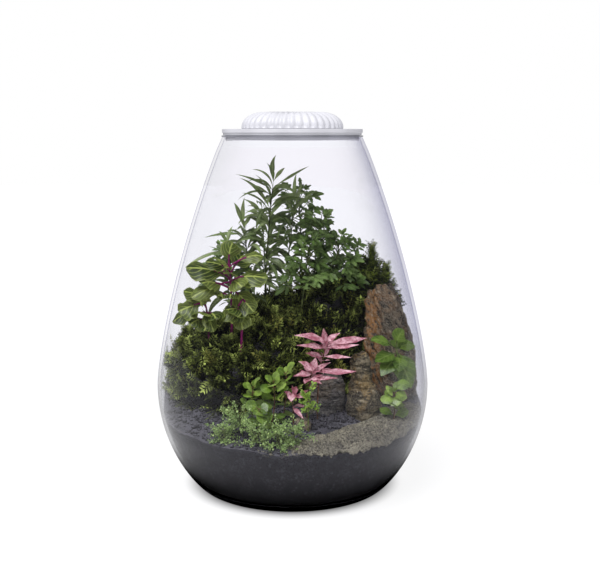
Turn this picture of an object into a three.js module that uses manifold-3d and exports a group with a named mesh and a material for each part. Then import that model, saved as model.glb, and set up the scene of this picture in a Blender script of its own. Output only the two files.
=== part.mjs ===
// A closed plant terrarium: a drop-shaped glass vessel with a lamp lid, planted with moss, stones and small plants.
// Millimetres, +Z up. The origin is the centre of the vessel's foot, and the photograph looks along +Y.
import * as THREE from "three";
import { mergeVertices } from "three/addons/utils/BufferGeometryUtils.js";
import { ParametricGeometry } from "three/addons/geometries/ParametricGeometry.js";
import Module from "manifold-3d";

const wasm = await Module();
wasm.setup();
const { Manifold, Mesh } = wasm;

// ---------------------------------------------------------------- driving dimensions

const GLASS_HEIGHT = 360;
const RIM_RADIUS = 71.5;
const WIDEST_RADIUS = 141;
const WIDEST_Z = 105.5;
const FOOT_RADIUS = 96.5;
const GLASS_WALL = 3;
const GLASS_BASE = 5;
const LATHE_SIDES = 28;
const OUTLINE_STEPS = 6; // straight stretches in each of the outline's two curves
const FIT_GAP = 0.3; // between a piece and what it rests in or on
const GLASS_GAP = 1; // between the foliage and the glass
const SMOOTHING = 0.08; // how far a cut surface may move when its slivers are merged away

const SEAL_THICKNESS = 1.3;
const PLATE_RADIUS = 71;
const PLATE_TOP = 368;
const PLATE_STEP = 2; // height of the narrower step under the plate's edge
const LIP_DEPTH = 3.5; // how far the plate's lip reaches into the mouth
const LIP_GAP = 1; // between the lip and the glass
const DIFFUSER_RADIUS = 43;
const DIFFUSER_THICKNESS = 2;
const LED_RADIUS = 40;
const LED_THICKNESS = 1.4;
const DOME_RADIUS = 51.5;
const DOME_HEIGHT = 16.5;
const DOME_SHOULDER = [21, 15]; // across and up
const DOME_FLAT_RADIUS = 22; // the fins fade out here, on the flat top
const FIN_COUNT = 40;
const FIN_DEPTH = 1.8;
const INLET_RADIUS = 4.2;
const INLET_LENGTH = 9;
const INLET_PROUD = 1; // how far the socket stands out of the dome

const SOIL_FRONT_Z = 71; // where the soil meets the glass in front
const SOIL_SLOPE = 0.1; // rise of the level part, per millimetre towards the back
const SOIL_BANK = 44; // how much higher the bank across the back is
const SAND_TOP = 82;
const SAND_BED = { radius: 118, halfWidth: 34, bearing: -48, halfAngle: 50 };
const ROOT_DEPTH = 12; // how deep a stem stands in the soil
const STEM_STEPS = 3; // straight stretches that a stem's curve is drawn with
const STEM_SIDES = 4;

// ---------------------------------------------------------------- materials

const finish = (color, roughness, metalness = 0) => new THREE.MeshStandardMaterial({ color, roughness, metalness });
const CLEAR_GLASS = finish(0xe9eef0, 0.05);
CLEAR_GLASS.transparent = true;
CLEAR_GLASS.opacity = 0.3;
const WHITE_PLASTIC = finish(0xf3f3f6, 0.45);
const GREY_SILICONE = finish(0x7c7d84, 0.6);
const FROSTED_PLASTIC = finish(0xf6f6f2, 0.7);
const LED_BOARD_WHITE = finish(0xe4e6e2, 0.5);
const BLACK_PLASTIC = finish(0x1d1d1f, 0.4);
const DARK_SOIL = finish(0x1c1a19, 0.95);
const PALE_SAND = finish(0xa39a88, 0.95);
const RUST_STONE = finish(0x7d6552, 0.9);
const TAN_STONE = finish(0x7b705c, 0.9);
const SLATE_STONE = finish(0x3b3a3b, 0.85);
const MOSS_GREEN = finish(0x2c3a14, 0.95);
const SPRUCE_GREEN = finish(0x3d4f1a, 0.9);
const WILLOW_GREEN = finish(0x4b6a43, 0.55);
const ARALIA_GREEN = finish(0x2c5a2b, 0.45);
const VEINED_GREEN = finish(0x54762b, 0.5);
const PINK_LEAF = finish(0xc4728a, 0.55);
const FRESH_GREEN = finish(0x5d8f3a, 0.4);
const LIME_GREEN = finish(0x86a83c, 0.5);

// ---------------------------------------------------------------- small tools

const DEGREE = Math.PI / 180;
const point = (x, y, z) => new THREE.Vector3(x, y, z);
const mix = (a, b, share) => a + (b - a) * share;
const smoothstep = (share) => {
  const s = Math.min(Math.max(share, 0), 1);
  return s * s * (3 - 2 * s);
};
// A repeatable draw between 0 and 1 for whole-number seeds.
const draw = (seed) => {
  const wave = Math.sin(seed * 12.9898 + 4.1) * 43758.5453;
  return wave - Math.floor(wave);
};

// A closed geometry as a solid with its faces pointing out.
function solid(geometry) {
  const bare = geometry.clone();
  for (const name of Object.keys(bare.attributes)) if (name !== "position") bare.deleteAttribute(name);
  const merged = mergeVertices(bare, 1e-3);
  const corners = merged.index.array;
  const faces = [];
  for (let i = 0; i < corners.length; i += 3) {
    const [a, b, c] = corners.subarray(i, i + 3);
    if (a !== b && b !== c && c !== a) faces.push(a, b, c);
  }
  const build = (triangles) =>
    new Manifold(
      new Mesh({
        numProp: 3,
        vertProperties: merged.attributes.position.array,
        triVerts: Uint32Array.from(triangles),
      }),
    );
  const made = build(faces);
  return made.volume() > 0 ? made : build(faces.reverse());
}

function geometryOf(made) {
  const mesh = made.getMesh();
  return new THREE.BufferGeometry()
    .setAttribute("position", new THREE.BufferAttribute(mesh.vertProperties, 3))
    .setIndex(new THREE.BufferAttribute(mesh.triVerts, 1));
}

// A closed skin over a grid: surface(u, v) runs along the piece with u and round it with v.
function skin(alongCount, aroundCount, surface) {
  const write = (u, v, target) => target.copy(surface(u, v % 1));
  return solid(new ParametricGeometry(write, alongCount, aroundCount));
}

function lathe(profile) {
  const points = profile.map(([radius, height]) => new THREE.Vector2(radius, height));
  return solid(new THREE.LatheGeometry(points, LATHE_SIDES).rotateX(Math.PI / 2));
}

function disc(radius, low, high) {
  return lathe([[0, low], [radius, low], [radius, high], [0, high]]);
}

const touches = (a, b) => {
  const boxA = a.boundingBox();
  const boxB = b.boundingBox();
  const apart = [0, 1, 2].some((k) => boxA.max[k] < boxB.min[k] || boxB.max[k] < boxA.min[k]);
  return !apart && a.intersect(b).volume() > 1e-4;
};

// ---------------------------------------------------------------- the glass

// Two smooth curves draw the outside: from the foot to the widest place, and from there to the rim.
function glassOutline(steps) {
  const lower = new THREE.CubicBezierCurve(
    new THREE.Vector2(FOOT_RADIUS, 0),
    new THREE.Vector2(FOOT_RADIUS + 6, 0.5),
    new THREE.Vector2(WIDEST_RADIUS, WIDEST_Z * 0.41),
    new THREE.Vector2(WIDEST_RADIUS, WIDEST_Z),
  );
  const upper = new THREE.CubicBezierCurve(
    new THREE.Vector2(WIDEST_RADIUS, WIDEST_Z),
    new THREE.Vector2(WIDEST_RADIUS, WIDEST_Z + 30),
    new THREE.Vector2(RIM_RADIUS + 46.5, GLASS_HEIGHT - 111.5),
    new THREE.Vector2(RIM_RADIUS, GLASS_HEIGHT),
  );
  return [...lower.getPoints(steps), ...upper.getPoints(steps).slice(1)];
}

const OUTSIDE = glassOutline(OUTLINE_STEPS);

// The outside moved inwards by depth, square to the wall, from the vessel's floor to the rim.
function insideOutline(depth) {
  const inner = OUTSIDE.map((here, i) => {
    const before = OUTSIDE[Math.max(i - 1, 0)];
    const after = OUTSIDE[Math.min(i + 1, OUTSIDE.length - 1)];
    const along = after.clone().sub(before).normalize();
    return new THREE.Vector2(here.x - depth * along.y, here.y + depth * along.x);
  });
  const floor = GLASS_BASE + depth - GLASS_WALL;
  const rim = inner[inner.length - 1];
  rim.y = GLASS_HEIGHT;
  const walls = inner.filter((p) => p.y > floor + 2);
  const corner = new THREE.Vector2(walls[0].x - 9, floor);
  return [new THREE.Vector2(0, floor), corner, ...walls];
}

function glassVessel() {
  const outside = [[0, 0], ...OUTSIDE.map((p) => [p.x, p.y])];
  const inside = insideOutline(GLASS_WALL).reverse().map((p) => [p.x, p.y]);
  return lathe([...outside, ...inside]);
}

// The space inside the glass, kept a gap away from its wall.
function cavity(gap) {
  const wall = insideOutline(GLASS_WALL + gap).map((p) => [p.x, p.y]);
  return lathe([...wall, [0, GLASS_HEIGHT]]);
}

// ---------------------------------------------------------------- the lid

const RIM_INSIDE = RIM_RADIUS - GLASS_WALL;
const SEAL_LOW = GLASS_HEIGHT + FIT_GAP;
const PLATE_LOW = SEAL_LOW + SEAL_THICKNESS + FIT_GAP;
const LIP_LOW = GLASS_HEIGHT - LIP_DEPTH;
const DIFFUSER_HIGH = LIP_LOW + 1 + DIFFUSER_THICKNESS;
const LED_LOW = DIFFUSER_HIGH + FIT_GAP * 2;
const DOME_LOW = PLATE_TOP + FIT_GAP;
const DOME_TOP = DOME_LOW + DOME_HEIGHT;
const INLET_Z = DOME_LOW + 7;

function sealRing() {
  const high = SEAL_LOW + SEAL_THICKNESS;
  const inside = RIM_INSIDE + FIT_GAP;
  return lathe([[inside, SEAL_LOW], [RIM_RADIUS, SEAL_LOW], [RIM_RADIUS, high], [inside, high], [inside, SEAL_LOW]]);
}

// The plate rests on the seal, and its lip centres it in the mouth. The lamp sits in a stepped recess underneath.
function lidPlate() {
  const stepTop = PLATE_LOW + PLATE_STEP;
  const lip = RIM_INSIDE - LIP_GAP;
  const plate = lathe([
    [0, LIP_LOW],
    [lip, LIP_LOW],
    [lip, PLATE_LOW],
    [PLATE_RADIUS - 1, PLATE_LOW],
    [PLATE_RADIUS - 1, stepTop],
    [PLATE_RADIUS, stepTop + 0.3],
    [PLATE_RADIUS, PLATE_TOP],
    [0, PLATE_TOP],
  ]);
  const diffuserSeat = disc(DIFFUSER_RADIUS + FIT_GAP, LIP_LOW - 1, DIFFUSER_HIGH + FIT_GAP);
  const boardSeat = disc(LED_RADIUS + FIT_GAP, LIP_LOW - 1, LED_LOW + LED_THICKNESS + FIT_GAP);
  return plate.subtract(diffuserSeat).subtract(boardSeat);
}

function ledBoard() {
  return disc(LED_RADIUS, LED_LOW, LED_LOW + LED_THICKNESS);
}

function lampDiffuser() {
  return disc(DIFFUSER_RADIUS, DIFFUSER_HIGH - DIFFUSER_THICKNESS, DIFFUSER_HIGH);
}

// The dome's radius and height at share s of its outline: a short skirt, a round shoulder and the flat top.
function domeOutline(s) {
  const [across, up] = DOME_SHOULDER;
  const skirt = DOME_HEIGHT - up;
  const neck = DOME_RADIUS - across;
  if (s < 0.2) return [DOME_RADIUS, (s / 0.2) * skirt];
  if (s < 0.8) {
    const turn = ((s - 0.2) / 0.6) * 90 * DEGREE;
    return [neck + across * Math.cos(turn), skirt + up * Math.sin(turn)];
  }
  return [mix(neck, DOME_FLAT_RADIUS, (s - 0.8) / 0.2), DOME_HEIGHT];
}

// The finned cap that carries away the lamp's heat: each fin is a crest between two grooves.
function lampDome() {
  const rings = 5;
  const edges = FIN_COUNT * 2;
  const cap = skin(rings + 2, edges, (u, v) => {
    const row = Math.round(u * (rings + 2));
    if (row === 0) return point(0, 0, DOME_LOW);
    if (row === rings + 2) return point(0, 0, DOME_TOP);
    const share = (row - 1) / rings;
    const [radius, height] = domeOutline(share);
    const groove = Math.round(v * edges) % 2 ? FIN_DEPTH * smoothstep((1 - share) * 5) : 0;
    const drop = groove * smoothstep((share - 0.45) * 2.5);
    const turn = v * 2 * Math.PI;
    const flare = radius - groove;
    return point(flare * Math.cos(turn), flare * Math.sin(turn), DOME_LOW + height - drop);
  });
  return cap.subtract(inletBarrel(INLET_RADIUS + FIT_GAP, INLET_LENGTH + FIT_GAP, INLET_PROUD + 5));
}

// A level cylinder along Y at the back of the dome, standing out of it by proud.
function inletBarrel(radius, length, proud) {
  const barrel = new THREE.CylinderGeometry(radius, radius, length + proud, 10);
  return solid(barrel.translate(0, DOME_RADIUS + proud - (length + proud) / 2, INLET_Z));
}

// The lamp's power socket, at the back of the dome.
function powerInlet() {
  const bore = inletBarrel(INLET_RADIUS - 1.4, INLET_LENGTH / 2, INLET_PROUD + 1);
  return inletBarrel(INLET_RADIUS, INLET_LENGTH, INLET_PROUD).subtract(bore);
}

// ---------------------------------------------------------------- the ground

// The soil's surface: almost level in front, lower under the sand, and a bank across the back.
function soilHeight(x, y) {
  const bankStart = mix(-16, 18, smoothstep((x + 50) / 90));
  const bank = SOIL_BANK * smoothstep((y - bankStart) / 60) * mix(0.7, 1, smoothstep((x + 90) / 150));
  const ripple = 1.2 * Math.sin(x / 13) * Math.cos(y / 11) + 0.7 * Math.sin((x + y) / 7);
  const bed = 5 * smoothstep(1.35 - sandReach(x, y));
  return SOIL_FRONT_Z + SOIL_SLOPE * (y + WIDEST_RADIUS) + bank + ripple - bed;
}

// 0 in the middle of the sand and 1 at its edge: a curved bed along the glass, from the front round to the right.
function sandReach(x, y) {
  const bearing = Math.atan2(y, x) / DEGREE;
  const across = (Math.hypot(x, y) - SAND_BED.radius) / SAND_BED.halfWidth;
  const along = (bearing - SAND_BED.bearing) / SAND_BED.halfAngle;
  return Math.hypot(across, along);
}

function sandHeight(x, y) {
  const reach = sandReach(x, y);
  const grain = 0.9 * Math.sin(x / 4.1 + y / 9) * Math.sin(y / 5.3);
  const slope = SOIL_SLOPE * (y + WIDEST_RADIUS / 2);
  return Math.max(SAND_TOP + slope + grain - 9 * reach * reach * reach, 0);
}

// A block under a surface, on a grid of rings. It reaches out of the vessel all round, and is cut to shape later.
function groundBlock(height, rings, sides) {
  const reach = WIDEST_RADIUS + 12;
  const low = -20;
  return skin(rings + 2, sides, (u, v) => {
    const ring = Math.round(u * (rings + 2));
    if (ring === rings + 2) return point(0, 0, low);
    const radius = (reach * Math.min(ring, rings)) / rings;
    const x = radius * Math.cos(v * 2 * Math.PI);
    const y = radius * Math.sin(v * 2 * Math.PI);
    return point(x, y, ring > rings ? low : height(x, y));
  });
}

const soilBlock = groundBlock(soilHeight, 5, 16);
const overSoil = soilBlock.translate(0, 0, FIT_GAP);

function sandBed() {
  const block = groundBlock(sandHeight, 10, 32);
  return block.subtract(overSoil).intersect(cavity(FIT_GAP));
}

// A bumpy closed lump: a ball drawn out to its radii, blockier as square rises above 2, narrower upwards by taper,
// and turned by lean. grow makes it larger all over.
function lump(spec, grow = 0) {
  const { at, radii, knobs, rough, seed, lean = [0, 0, 0], rows = 6, sides = 10, square = 2, taper = 0 } = spec;
  const turn = new THREE.Euler(...lean.map((angle) => angle * DEGREE));
  return skin(rows, sides, (u, v) => {
    const polar = u * Math.PI;
    const turned = v * 2 * Math.PI;
    const way = point(Math.sin(polar) * Math.cos(turned), Math.sin(polar) * Math.sin(turned), Math.cos(polar));
    const blunt = way.toArray().reduce((sum, part) => sum + Math.abs(part) ** square, 0) ** (-1 / square);
    const wave =
      Math.sin(way.x * knobs + seed) * Math.sin(way.y * knobs * 1.1 + seed * 2) +
      Math.sin(way.z * knobs * 1.3 + seed * 3) * Math.cos(way.x * knobs * 0.8);
    const size = blunt * (1 + rough * wave);
    const out = point(way.x * radii[0], way.y * radii[1], way.z * radii[2]).multiplyScalar(size);
    const narrow = 1 - (taper * out.z) / radii[2];
    out.multiply(point(narrow, narrow, 1)).addScaledVector(way, grow);
    return out.applyEuler(turn).add(point(...at));
  });
}

// ---------------------------------------------------------------- the stones

const STONES = {
  stone_tall: {
    at: [100, 8, 134], radii: [25, 18, 74], knobs: 4.2, rough: 0.08, seed: 1.7,
    lean: [-5, -9, 18], rows: 11, sides: 12, square: 3, taper: 0.26, material: RUST_STONE,
  },
  stone_stack: {
    at: [72, -40, 105], radii: [14.5, 14.5, 43], knobs: 5.1, rough: 0.09, seed: 2.9,
    lean: [3, -4, 30], rows: 11, sides: 12, square: 3.6, taper: 0.28, material: TAN_STONE,
  },
  stone_slab: {
    at: [34, -26, 92], radii: [22, 16, 32], knobs: 3.7, rough: 0.07, seed: 4.4,
    lean: [10, 8, 8], rows: 8, sides: 10, square: 3, taper: 0.2, material: SLATE_STONE,
  },
  stone_pebble: {
    at: [10, -76, 81], radii: [9, 8, 8], knobs: 3, rough: 0.06, seed: 5.2,
    rows: 6, sides: 8, square: 2.4, material: TAN_STONE,
  },
};

// ---------------------------------------------------------------- the moss

const MOSSES = {
  moss_left: {
    lumps: [
      { at: [-74, 6, 106], radii: [56, 46, 50], knobs: 5, rough: 0.09, seed: 0.6 },
      { at: [-26, 22, 116], radii: [46, 46, 60], knobs: 5, rough: 0.09, seed: 1.9 },
      { at: [-92, 44, 108], radii: [44, 44, 46], knobs: 4, rough: 0.09, seed: 2.2 },
    ],
    tufts: 14,
    material: MOSS_GREEN,
  },
  moss_back: {
    lumps: [
      { at: [34, 44, 140], radii: [48, 38, 66], knobs: 5, rough: 0.09, seed: 3.1 },
      { at: [75, 48, 166], radii: [27, 30, 50], knobs: 5, rough: 0.09, seed: 4.7 },
      { at: [-12, 84, 130], radii: [60, 40, 48], knobs: 4, rough: 0.09, seed: 5.5 },
    ],
    tufts: 14,
    material: MOSS_GREEN,
  },
};

// One tuft of moss: a three-sided spike with its root sunk in the cushion.
function spike(root, way, length, radius) {
  const side = point(way.y, -way.x, 0.3).normalize();
  const other = way.clone().cross(side).normalize();
  return skin(2, 3, (u, v) => {
    const row = Math.round(u * 2);
    const thick = row === 1 ? radius : 0;
    const turn = v * 2 * Math.PI;
    return root
      .clone()
      .addScaledVector(way, [0, 0.3, 1][row] * length)
      .addScaledVector(side, thick * Math.cos(turn))
      .addScaledVector(other, thick * Math.sin(turn));
  });
}

// Tufts spread evenly over a lump's upper side, by the golden angle.
function tuftsOn(spec, count, seed) {
  const made = [];
  for (let i = 0; i < count; i++) {
    const lift = mix(0.97, -0.25, (i + 0.5) / count);
    const turn = i * 137.508 * DEGREE + seed;
    const level = Math.sqrt(1 - lift * lift);
    const way = point(level * Math.cos(turn), level * Math.sin(turn), lift);
    const root = point(...spec.at).add(point(...spec.radii).multiply(way).multiplyScalar(0.88));
    const lean = way.clone().add(point(draw(seed + i) - 0.5, draw(seed + i + 50) - 0.5, 0.75)).normalize();
    made.push(spike(root, lean, mix(24, 34, draw(i + seed * 7)), mix(6, 9, draw(i + 90))));
  }
  return made;
}

// ---------------------------------------------------------------- leaves and stems

// A leaf's outline as [share of the length, half width, how far the edge runs ahead of the rib].
const OUTLINES = {
  lance: { stations: [[0.14, 0.2], [0.42, 1], [0.8, 0.55]], end: 1 },
  oval: { stations: [[0.22, 0.1], [0.46, 1], [0.8, 0.72]], end: 1 },
  round: { stations: [[0.24, 0.14], [0.5, 1], [0.84, 0.74]], end: 1 },
  notched: { stations: [[0.3, 0.07], [0.42, 0.86], [0.7, 1, 0.04], [0.86, 0.62, 0.09]], end: 0.93 },
  lobed: { stations: [[0.34, 0.06], [0.46, 0.85, 0.1], [0.56, 0.24], [0.7, 1, 0.14]], end: 1 },
  spoon: { stations: [[0.6, 1]], end: 1 },
};

// A thin arched blade on its own stalk. heading is its bearing, rise its slope at the stem and droop how far it bends
// down. Its section is a flat diamond with 4 sides, or a flat top over a keel with 3.
function leafBlade({ from, heading, rise, droop, length, width, outline, fold, sides, thick = 1.1 }, grow = 0) {
  const { stations, end } = OUTLINES[outline];
  const rows = [[0, 0], ...stations, [end, 0]];
  const forward = point(Math.cos(heading * DEGREE), Math.sin(heading * DEGREE), 0);
  const flatSide = point(-forward.y, forward.x, 0);
  const place = (share) => {
    const steps = 6;
    const here = from.clone();
    for (let k = 0; k < steps; k++) {
      const slope = (rise - (droop * share * (k + 0.5)) / steps) * DEGREE;
      here.addScaledVector(forward, (Math.cos(slope) * length * share) / steps);
      here.z += (Math.sin(slope) * length * share) / steps;
    }
    return here;
  };
  return skin(rows.length - 1, sides, (u, v) => {
    const [share, half, ahead = 0] = rows[Math.round(u * (rows.length - 1))];
    const corner = Math.round(v * sides) + 4 - sides;
    const slope = (rise - droop * share) * DEGREE;
    const along = forward.clone().multiplyScalar(Math.cos(slope)).add(point(0, 0, Math.sin(slope)));
    const up = along.clone().cross(flatSide);
    const here = place(share);
    if (half === 0) return here.addScaledVector(along, share ? grow : 0);
    const wide = half * width * 0.5 + 0.35 + grow;
    if (corner === 0) return here.addScaledVector(up, thick / 2 + grow);
    if (corner === 2) return here.addScaledVector(up, -thick / 2 - grow);
    const sign = corner === 1 ? 1 : -1;
    return here
      .addScaledVector(flatSide, sign * wide)
      .addScaledVector(up, fold * wide)
      .addScaledVector(along, ahead * length);
  });
}

// A round stem along a curve, with few sides, that tapers to a point at its tip.
function stemTube(curve, radius, grow = 0) {
  return skin(STEM_STEPS + 2, STEM_SIDES, (u, v) => {
    const row = Math.round(u * (STEM_STEPS + 2));
    const share = Math.min(Math.max((row - 1) / STEM_STEPS, 0), 1);
    const here = curve.getPoint(share);
    if (row === 0 || row === STEM_STEPS + 2) return here;
    const along = curve.getTangent(share);
    const side = along.clone().cross(point(0.2, 1, 0.1)).normalize();
    const other = side.clone().cross(along);
    const thick = mix(radius, radius * 0.45, share) + grow;
    const turn = v * 2 * Math.PI;
    return here.addScaledVector(side, thick * Math.cos(turn)).addScaledVector(other, thick * Math.sin(turn));
  });
}

// What each kind of plant's leaves are like, from the lowest leaf to the highest.
const WILLOW = {
  outline: "lance", length: [54, 44], width: [9, 7], rise: [22, 66], droop: [76, 30], fold: 0.2,
  stem: 1.7, turn: 137.5, first: 0.45, sides: 3, material: WILLOW_GREEN,
};
const ARALIA = {
  outline: "lobed", length: [38, 30], width: [25, 20], rise: [22, 56], droop: [44, 30], fold: 0.15,
  stem: 1.5, turn: 137.5, first: 0.5, material: ARALIA_GREEN,
};
const BLOODLEAF = {
  outline: "notched", length: [40, 28], width: [29, 20], rise: [10, 40], droop: [56, 40], fold: 0.2,
  stem: 1.8, turn: 90, pairs: true, first: 0.5, material: VEINED_GREEN,
};
const PINK = {
  outline: "lance", length: [38, 26], width: [12, 9], rise: [4, 40], droop: [20, 14], fold: 0.22,
  stem: 1.2, turn: 72, pairs: true, first: 0.62, sides: 3, material: PINK_LEAF,
};
const BROAD = {
  outline: "oval", length: [46, 32], width: [31, 21], rise: [6, 40], droop: [70, 50], fold: 0.12,
  stem: 1.6, turn: 137.5, first: 0.5, material: FRESH_GREEN,
};
const ROUND = {
  outline: "round", length: [17, 12], width: [13, 9.5], rise: [8, 44], droop: [26, 16], fold: 0.12,
  stem: 1, turn: 90, pairs: true, first: 0.35, sides: 3, material: FRESH_GREEN,
};
const CREEPER = {
  outline: "spoon", length: [9, 7], width: [5.5, 4.5], rise: [20, 60], droop: [20, 10], fold: 0.1,
  stem: 0.8, turn: 137.5, first: 0.36, sides: 3, material: LIME_GREEN,
};
const SPRUCE = {
  outline: "spoon", length: [16, 10], width: [5, 4], rise: [34, 72], droop: [6, 0], fold: 0.1,
  stem: 2.6, turn: 137.5, first: 0.5, sides: 3, material: SPRUCE_GREEN,
};

// Each leafy stem: where it stands, where its tip is, how far it bows aside, its leaves and the first leaf's bearing.
const STEMS = {
  willow_tall: { kind: WILLOW, foot: [-30, 30], tip: [-20, 20, 314], bow: [-4, 2], leaves: 15, start: 200 },
  willow_left: { kind: WILLOW, foot: [-46, 38], tip: [-52, 26, 266], bow: [4, -2], leaves: 9, start: 170 },
  willow_low: { kind: WILLOW, foot: [-58, 26], tip: [-68, 14, 250], bow: [2, -2], leaves: 7, start: 150 },
  willow_right: { kind: WILLOW, foot: [-12, 42], tip: [2, 34, 286], bow: [-3, 3], leaves: 10, start: 20 },
  willow_back: { kind: WILLOW, foot: [-26, 54], tip: [-34, 56, 290], bow: [0, 3], leaves: 8, start: 60 },
  aralia_front: { kind: ARALIA, foot: [4, 22], tip: [18, 4, 250], bow: [-3, 0], leaves: 7, start: 250 },
  aralia_middle: { kind: ARALIA, foot: [18, 40], tip: [30, 28, 276], bow: [-4, 2], leaves: 8, start: 330 },
  aralia_right: { kind: ARALIA, foot: [36, 34], tip: [50, 18, 254], bow: [-5, 2], leaves: 7, start: 300 },
  aralia_low: { kind: ARALIA, foot: [50, 36], tip: [68, 26, 240], bow: [-5, 2], leaves: 6, start: 20 },
  aralia_back: { kind: ARALIA, foot: [8, 62], tip: [6, 60, 300], bow: [3, 2], leaves: 6, start: 100 },
  aralia_left: { kind: ARALIA, foot: [-66, 44], tip: [-72, 38, 240], bow: [0, 2], leaves: 5, start: 210 },
  bloodleaf_upper: { kind: BLOODLEAF, foot: [-72, -6], tip: [-64, -18, 230], bow: [5, -2], leaves: 8, start: 0 },
  bloodleaf_left: { kind: BLOODLEAF, foot: [-86, -4], tip: [-88, -22, 194], bow: [2, -2], leaves: 6, start: 20 },
  bloodleaf_right: { kind: BLOODLEAF, foot: [-56, -12], tip: [-50, -26, 198], bow: [0, -2], leaves: 6, start: 70 },
  pink_upper: { kind: PINK, foot: [26, -54], tip: [34, -52, 158], bow: [-4, 0], leaves: 12, start: 0 },
  pink_middle: { kind: PINK, foot: [16, -60], tip: [20, -62, 132], bow: [-3, 0], leaves: 10, start: 30 },
  pink_low: { kind: PINK, foot: [2, -66], tip: [0, -72, 112], bow: [0, 0], leaves: 6, start: 60 },
  broadleaf_upper: { kind: BROAD, foot: [104, -30], tip: [104, -38, 152], bow: [3, -2], leaves: 7, start: 190 },
  broadleaf_low: { kind: ROUND, foot: [98, -54], tip: [100, -62, 112], bow: [2, -2], leaves: 8, start: 250 },
  roundleaf_left: { kind: ROUND, foot: [-34, -70], tip: [-38, -74, 118], bow: [-3, 0], leaves: 8, start: 20 },
  roundleaf_middle: { kind: ROUND, foot: [-24, -68], tip: [-18, -74, 124], bow: [3, 0], leaves: 10, start: 70 },
  roundleaf_right: { kind: ROUND, foot: [-14, -60], tip: [-6, -64, 130], bow: [3, 0], leaves: 8, start: 40 },
  roundleaf_front: { kind: ROUND, foot: [-30, -84], tip: [-32, -92, 102], bow: [2, 0], leaves: 8, start: 10 },
  sprout: { kind: CREEPER, foot: [15, -82], tip: [18, -86, 116], bow: [2, 0], leaves: 10, start: 40 },
  creeper_far_left: { kind: CREEPER, foot: [-58, -100], tip: [-72, -104, 90], bow: [0, -2], leaves: 10, start: 0 },
  creeper_left: { kind: CREEPER, foot: [-46, -96], tip: [-52, -98, 101], bow: [0, -2], leaves: 11, start: 80 },
  creeper_middle: { kind: CREEPER, foot: [-34, -112], tip: [-31, -118, 92], bow: [2, 0], leaves: 11, start: 60 },
  creeper_right: { kind: CREEPER, foot: [-14, -112], tip: [-12, -118, 92], bow: [0, 2], leaves: 10, start: 120 },
  creeper_far_right: { kind: CREEPER, foot: [-2, -110], tip: [7, -116, 90], bow: [0, 2], leaves: 10, start: 150 },
  spruce_tall: { kind: SPRUCE, foot: [84, 50], tip: [86, 42, 244], bow: [2, 0], leaves: 18, start: 0 },
  spruce_right: { kind: SPRUCE, foot: [96, 46], tip: [101, 38, 224], bow: [2, 0], leaves: 14, start: 66 },
  spruce_left: { kind: SPRUCE, foot: [70, 50], tip: [68, 42, 232], bow: [-2, 0], leaves: 14, start: 110 },
};

function stemCurve({ foot, tip, bow }) {
  const root = point(foot[0], foot[1], soilHeight(...foot) - ROOT_DEPTH);
  const top = point(...tip);
  const middle = root.clone().lerp(top, 0.5).add(point(bow[0] * 2, bow[1] * 2, 0));
  return new THREE.QuadraticBezierCurve3(root, middle, top);
}

// A place on the drawn stem, whose curve is a few straight stretches.
function stemPlace(curve, share) {
  const stretch = Math.min(Math.floor(share * STEM_STEPS), STEM_STEPS - 1);
  const start = curve.getPoint(stretch / STEM_STEPS);
  return start.lerp(curve.getPoint((stretch + 1) / STEM_STEPS), share * STEM_STEPS - stretch);
}

// The leaves of one stem as blade settings, from the lowest to the tip. Pairs stand opposite each other.
function leafPlan(stem, curve) {
  const { kind, leaves, start } = stem;
  const groups = kind.pairs ? leaves / 2 : leaves;
  const plan = [];
  for (let g = 0; g < groups; g++) {
    const height = groups > 1 ? g / (groups - 1) : 1;
    const from = stemPlace(curve, mix(kind.first, 0.96, height));
    for (let side = 0; side < (kind.pairs ? 2 : 1); side++) {
      const seed = start + g * 3 + side;
      plan.push({
        from,
        heading: start + g * kind.turn + side * 180 + mix(-12, 12, draw(seed)),
        rise: mix(kind.rise[0], kind.rise[1], height) + mix(-8, 8, draw(seed + 31)),
        droop: mix(kind.droop[0], kind.droop[1], height) * mix(0.7, 1.3, draw(seed + 57)),
        length: mix(kind.length[0], kind.length[1], height) * mix(0.88, 1.08, draw(seed + 83)),
        width: mix(kind.width[0], kind.width[1], height),
        outline: kind.outline,
        fold: kind.fold,
        sides: kind.sides ?? 4,
      });
    }
  }
  return plan;
}

// A leaf that would run into something is turned and raised a little until it is clear, or left out.
const NUDGES = [[0, 0], [14, 6], [-14, 6], [26, 14], [-26, 14], [0, 24], [40, 20], [-40, 20], [60, 34], [-60, 34], [0, 46]];

function clearLeaf(leaf, room, others) {
  for (const [turn, raise] of NUDGES) {
    for (const shrink of [1, 0.82]) {
      const bent = {
        ...leaf,
        heading: leaf.heading + turn,
        rise: Math.min(leaf.rise + raise, 86),
        droop: leaf.droop * (raise > 20 ? 0.5 : 1),
        length: leaf.length * shrink,
        width: leaf.width * shrink,
      };
      const guard = leafBlade(bent, FIT_GAP);
      const inside = guard.subtract(room).volume() < 1e-4;
      if (inside && !others.some((other) => touches(guard, other))) return leafBlade(bent);
    }
  }
  return null;
}

function leafyStem(stem, room, others) {
  const curve = stemCurve(stem);
  const pieces = [stemTube(curve, stem.kind.stem)];
  for (const leaf of leafPlan(stem, curve)) {
    const blade = clearLeaf(leaf, room, others);
    if (blade) pieces.push(blade);
  }
  return Manifold.union(pieces).simplify(SMOOTHING);
}

// ---------------------------------------------------------------- putting it together

const terrarium = new THREE.Group();
const placed = new Map();

function add(name, made, material) {
  const mesh = new THREE.Mesh(geometryOf(made), material);
  mesh.name = name;
  terrarium.add(mesh);
  placed.set(name, made);
}

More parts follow.
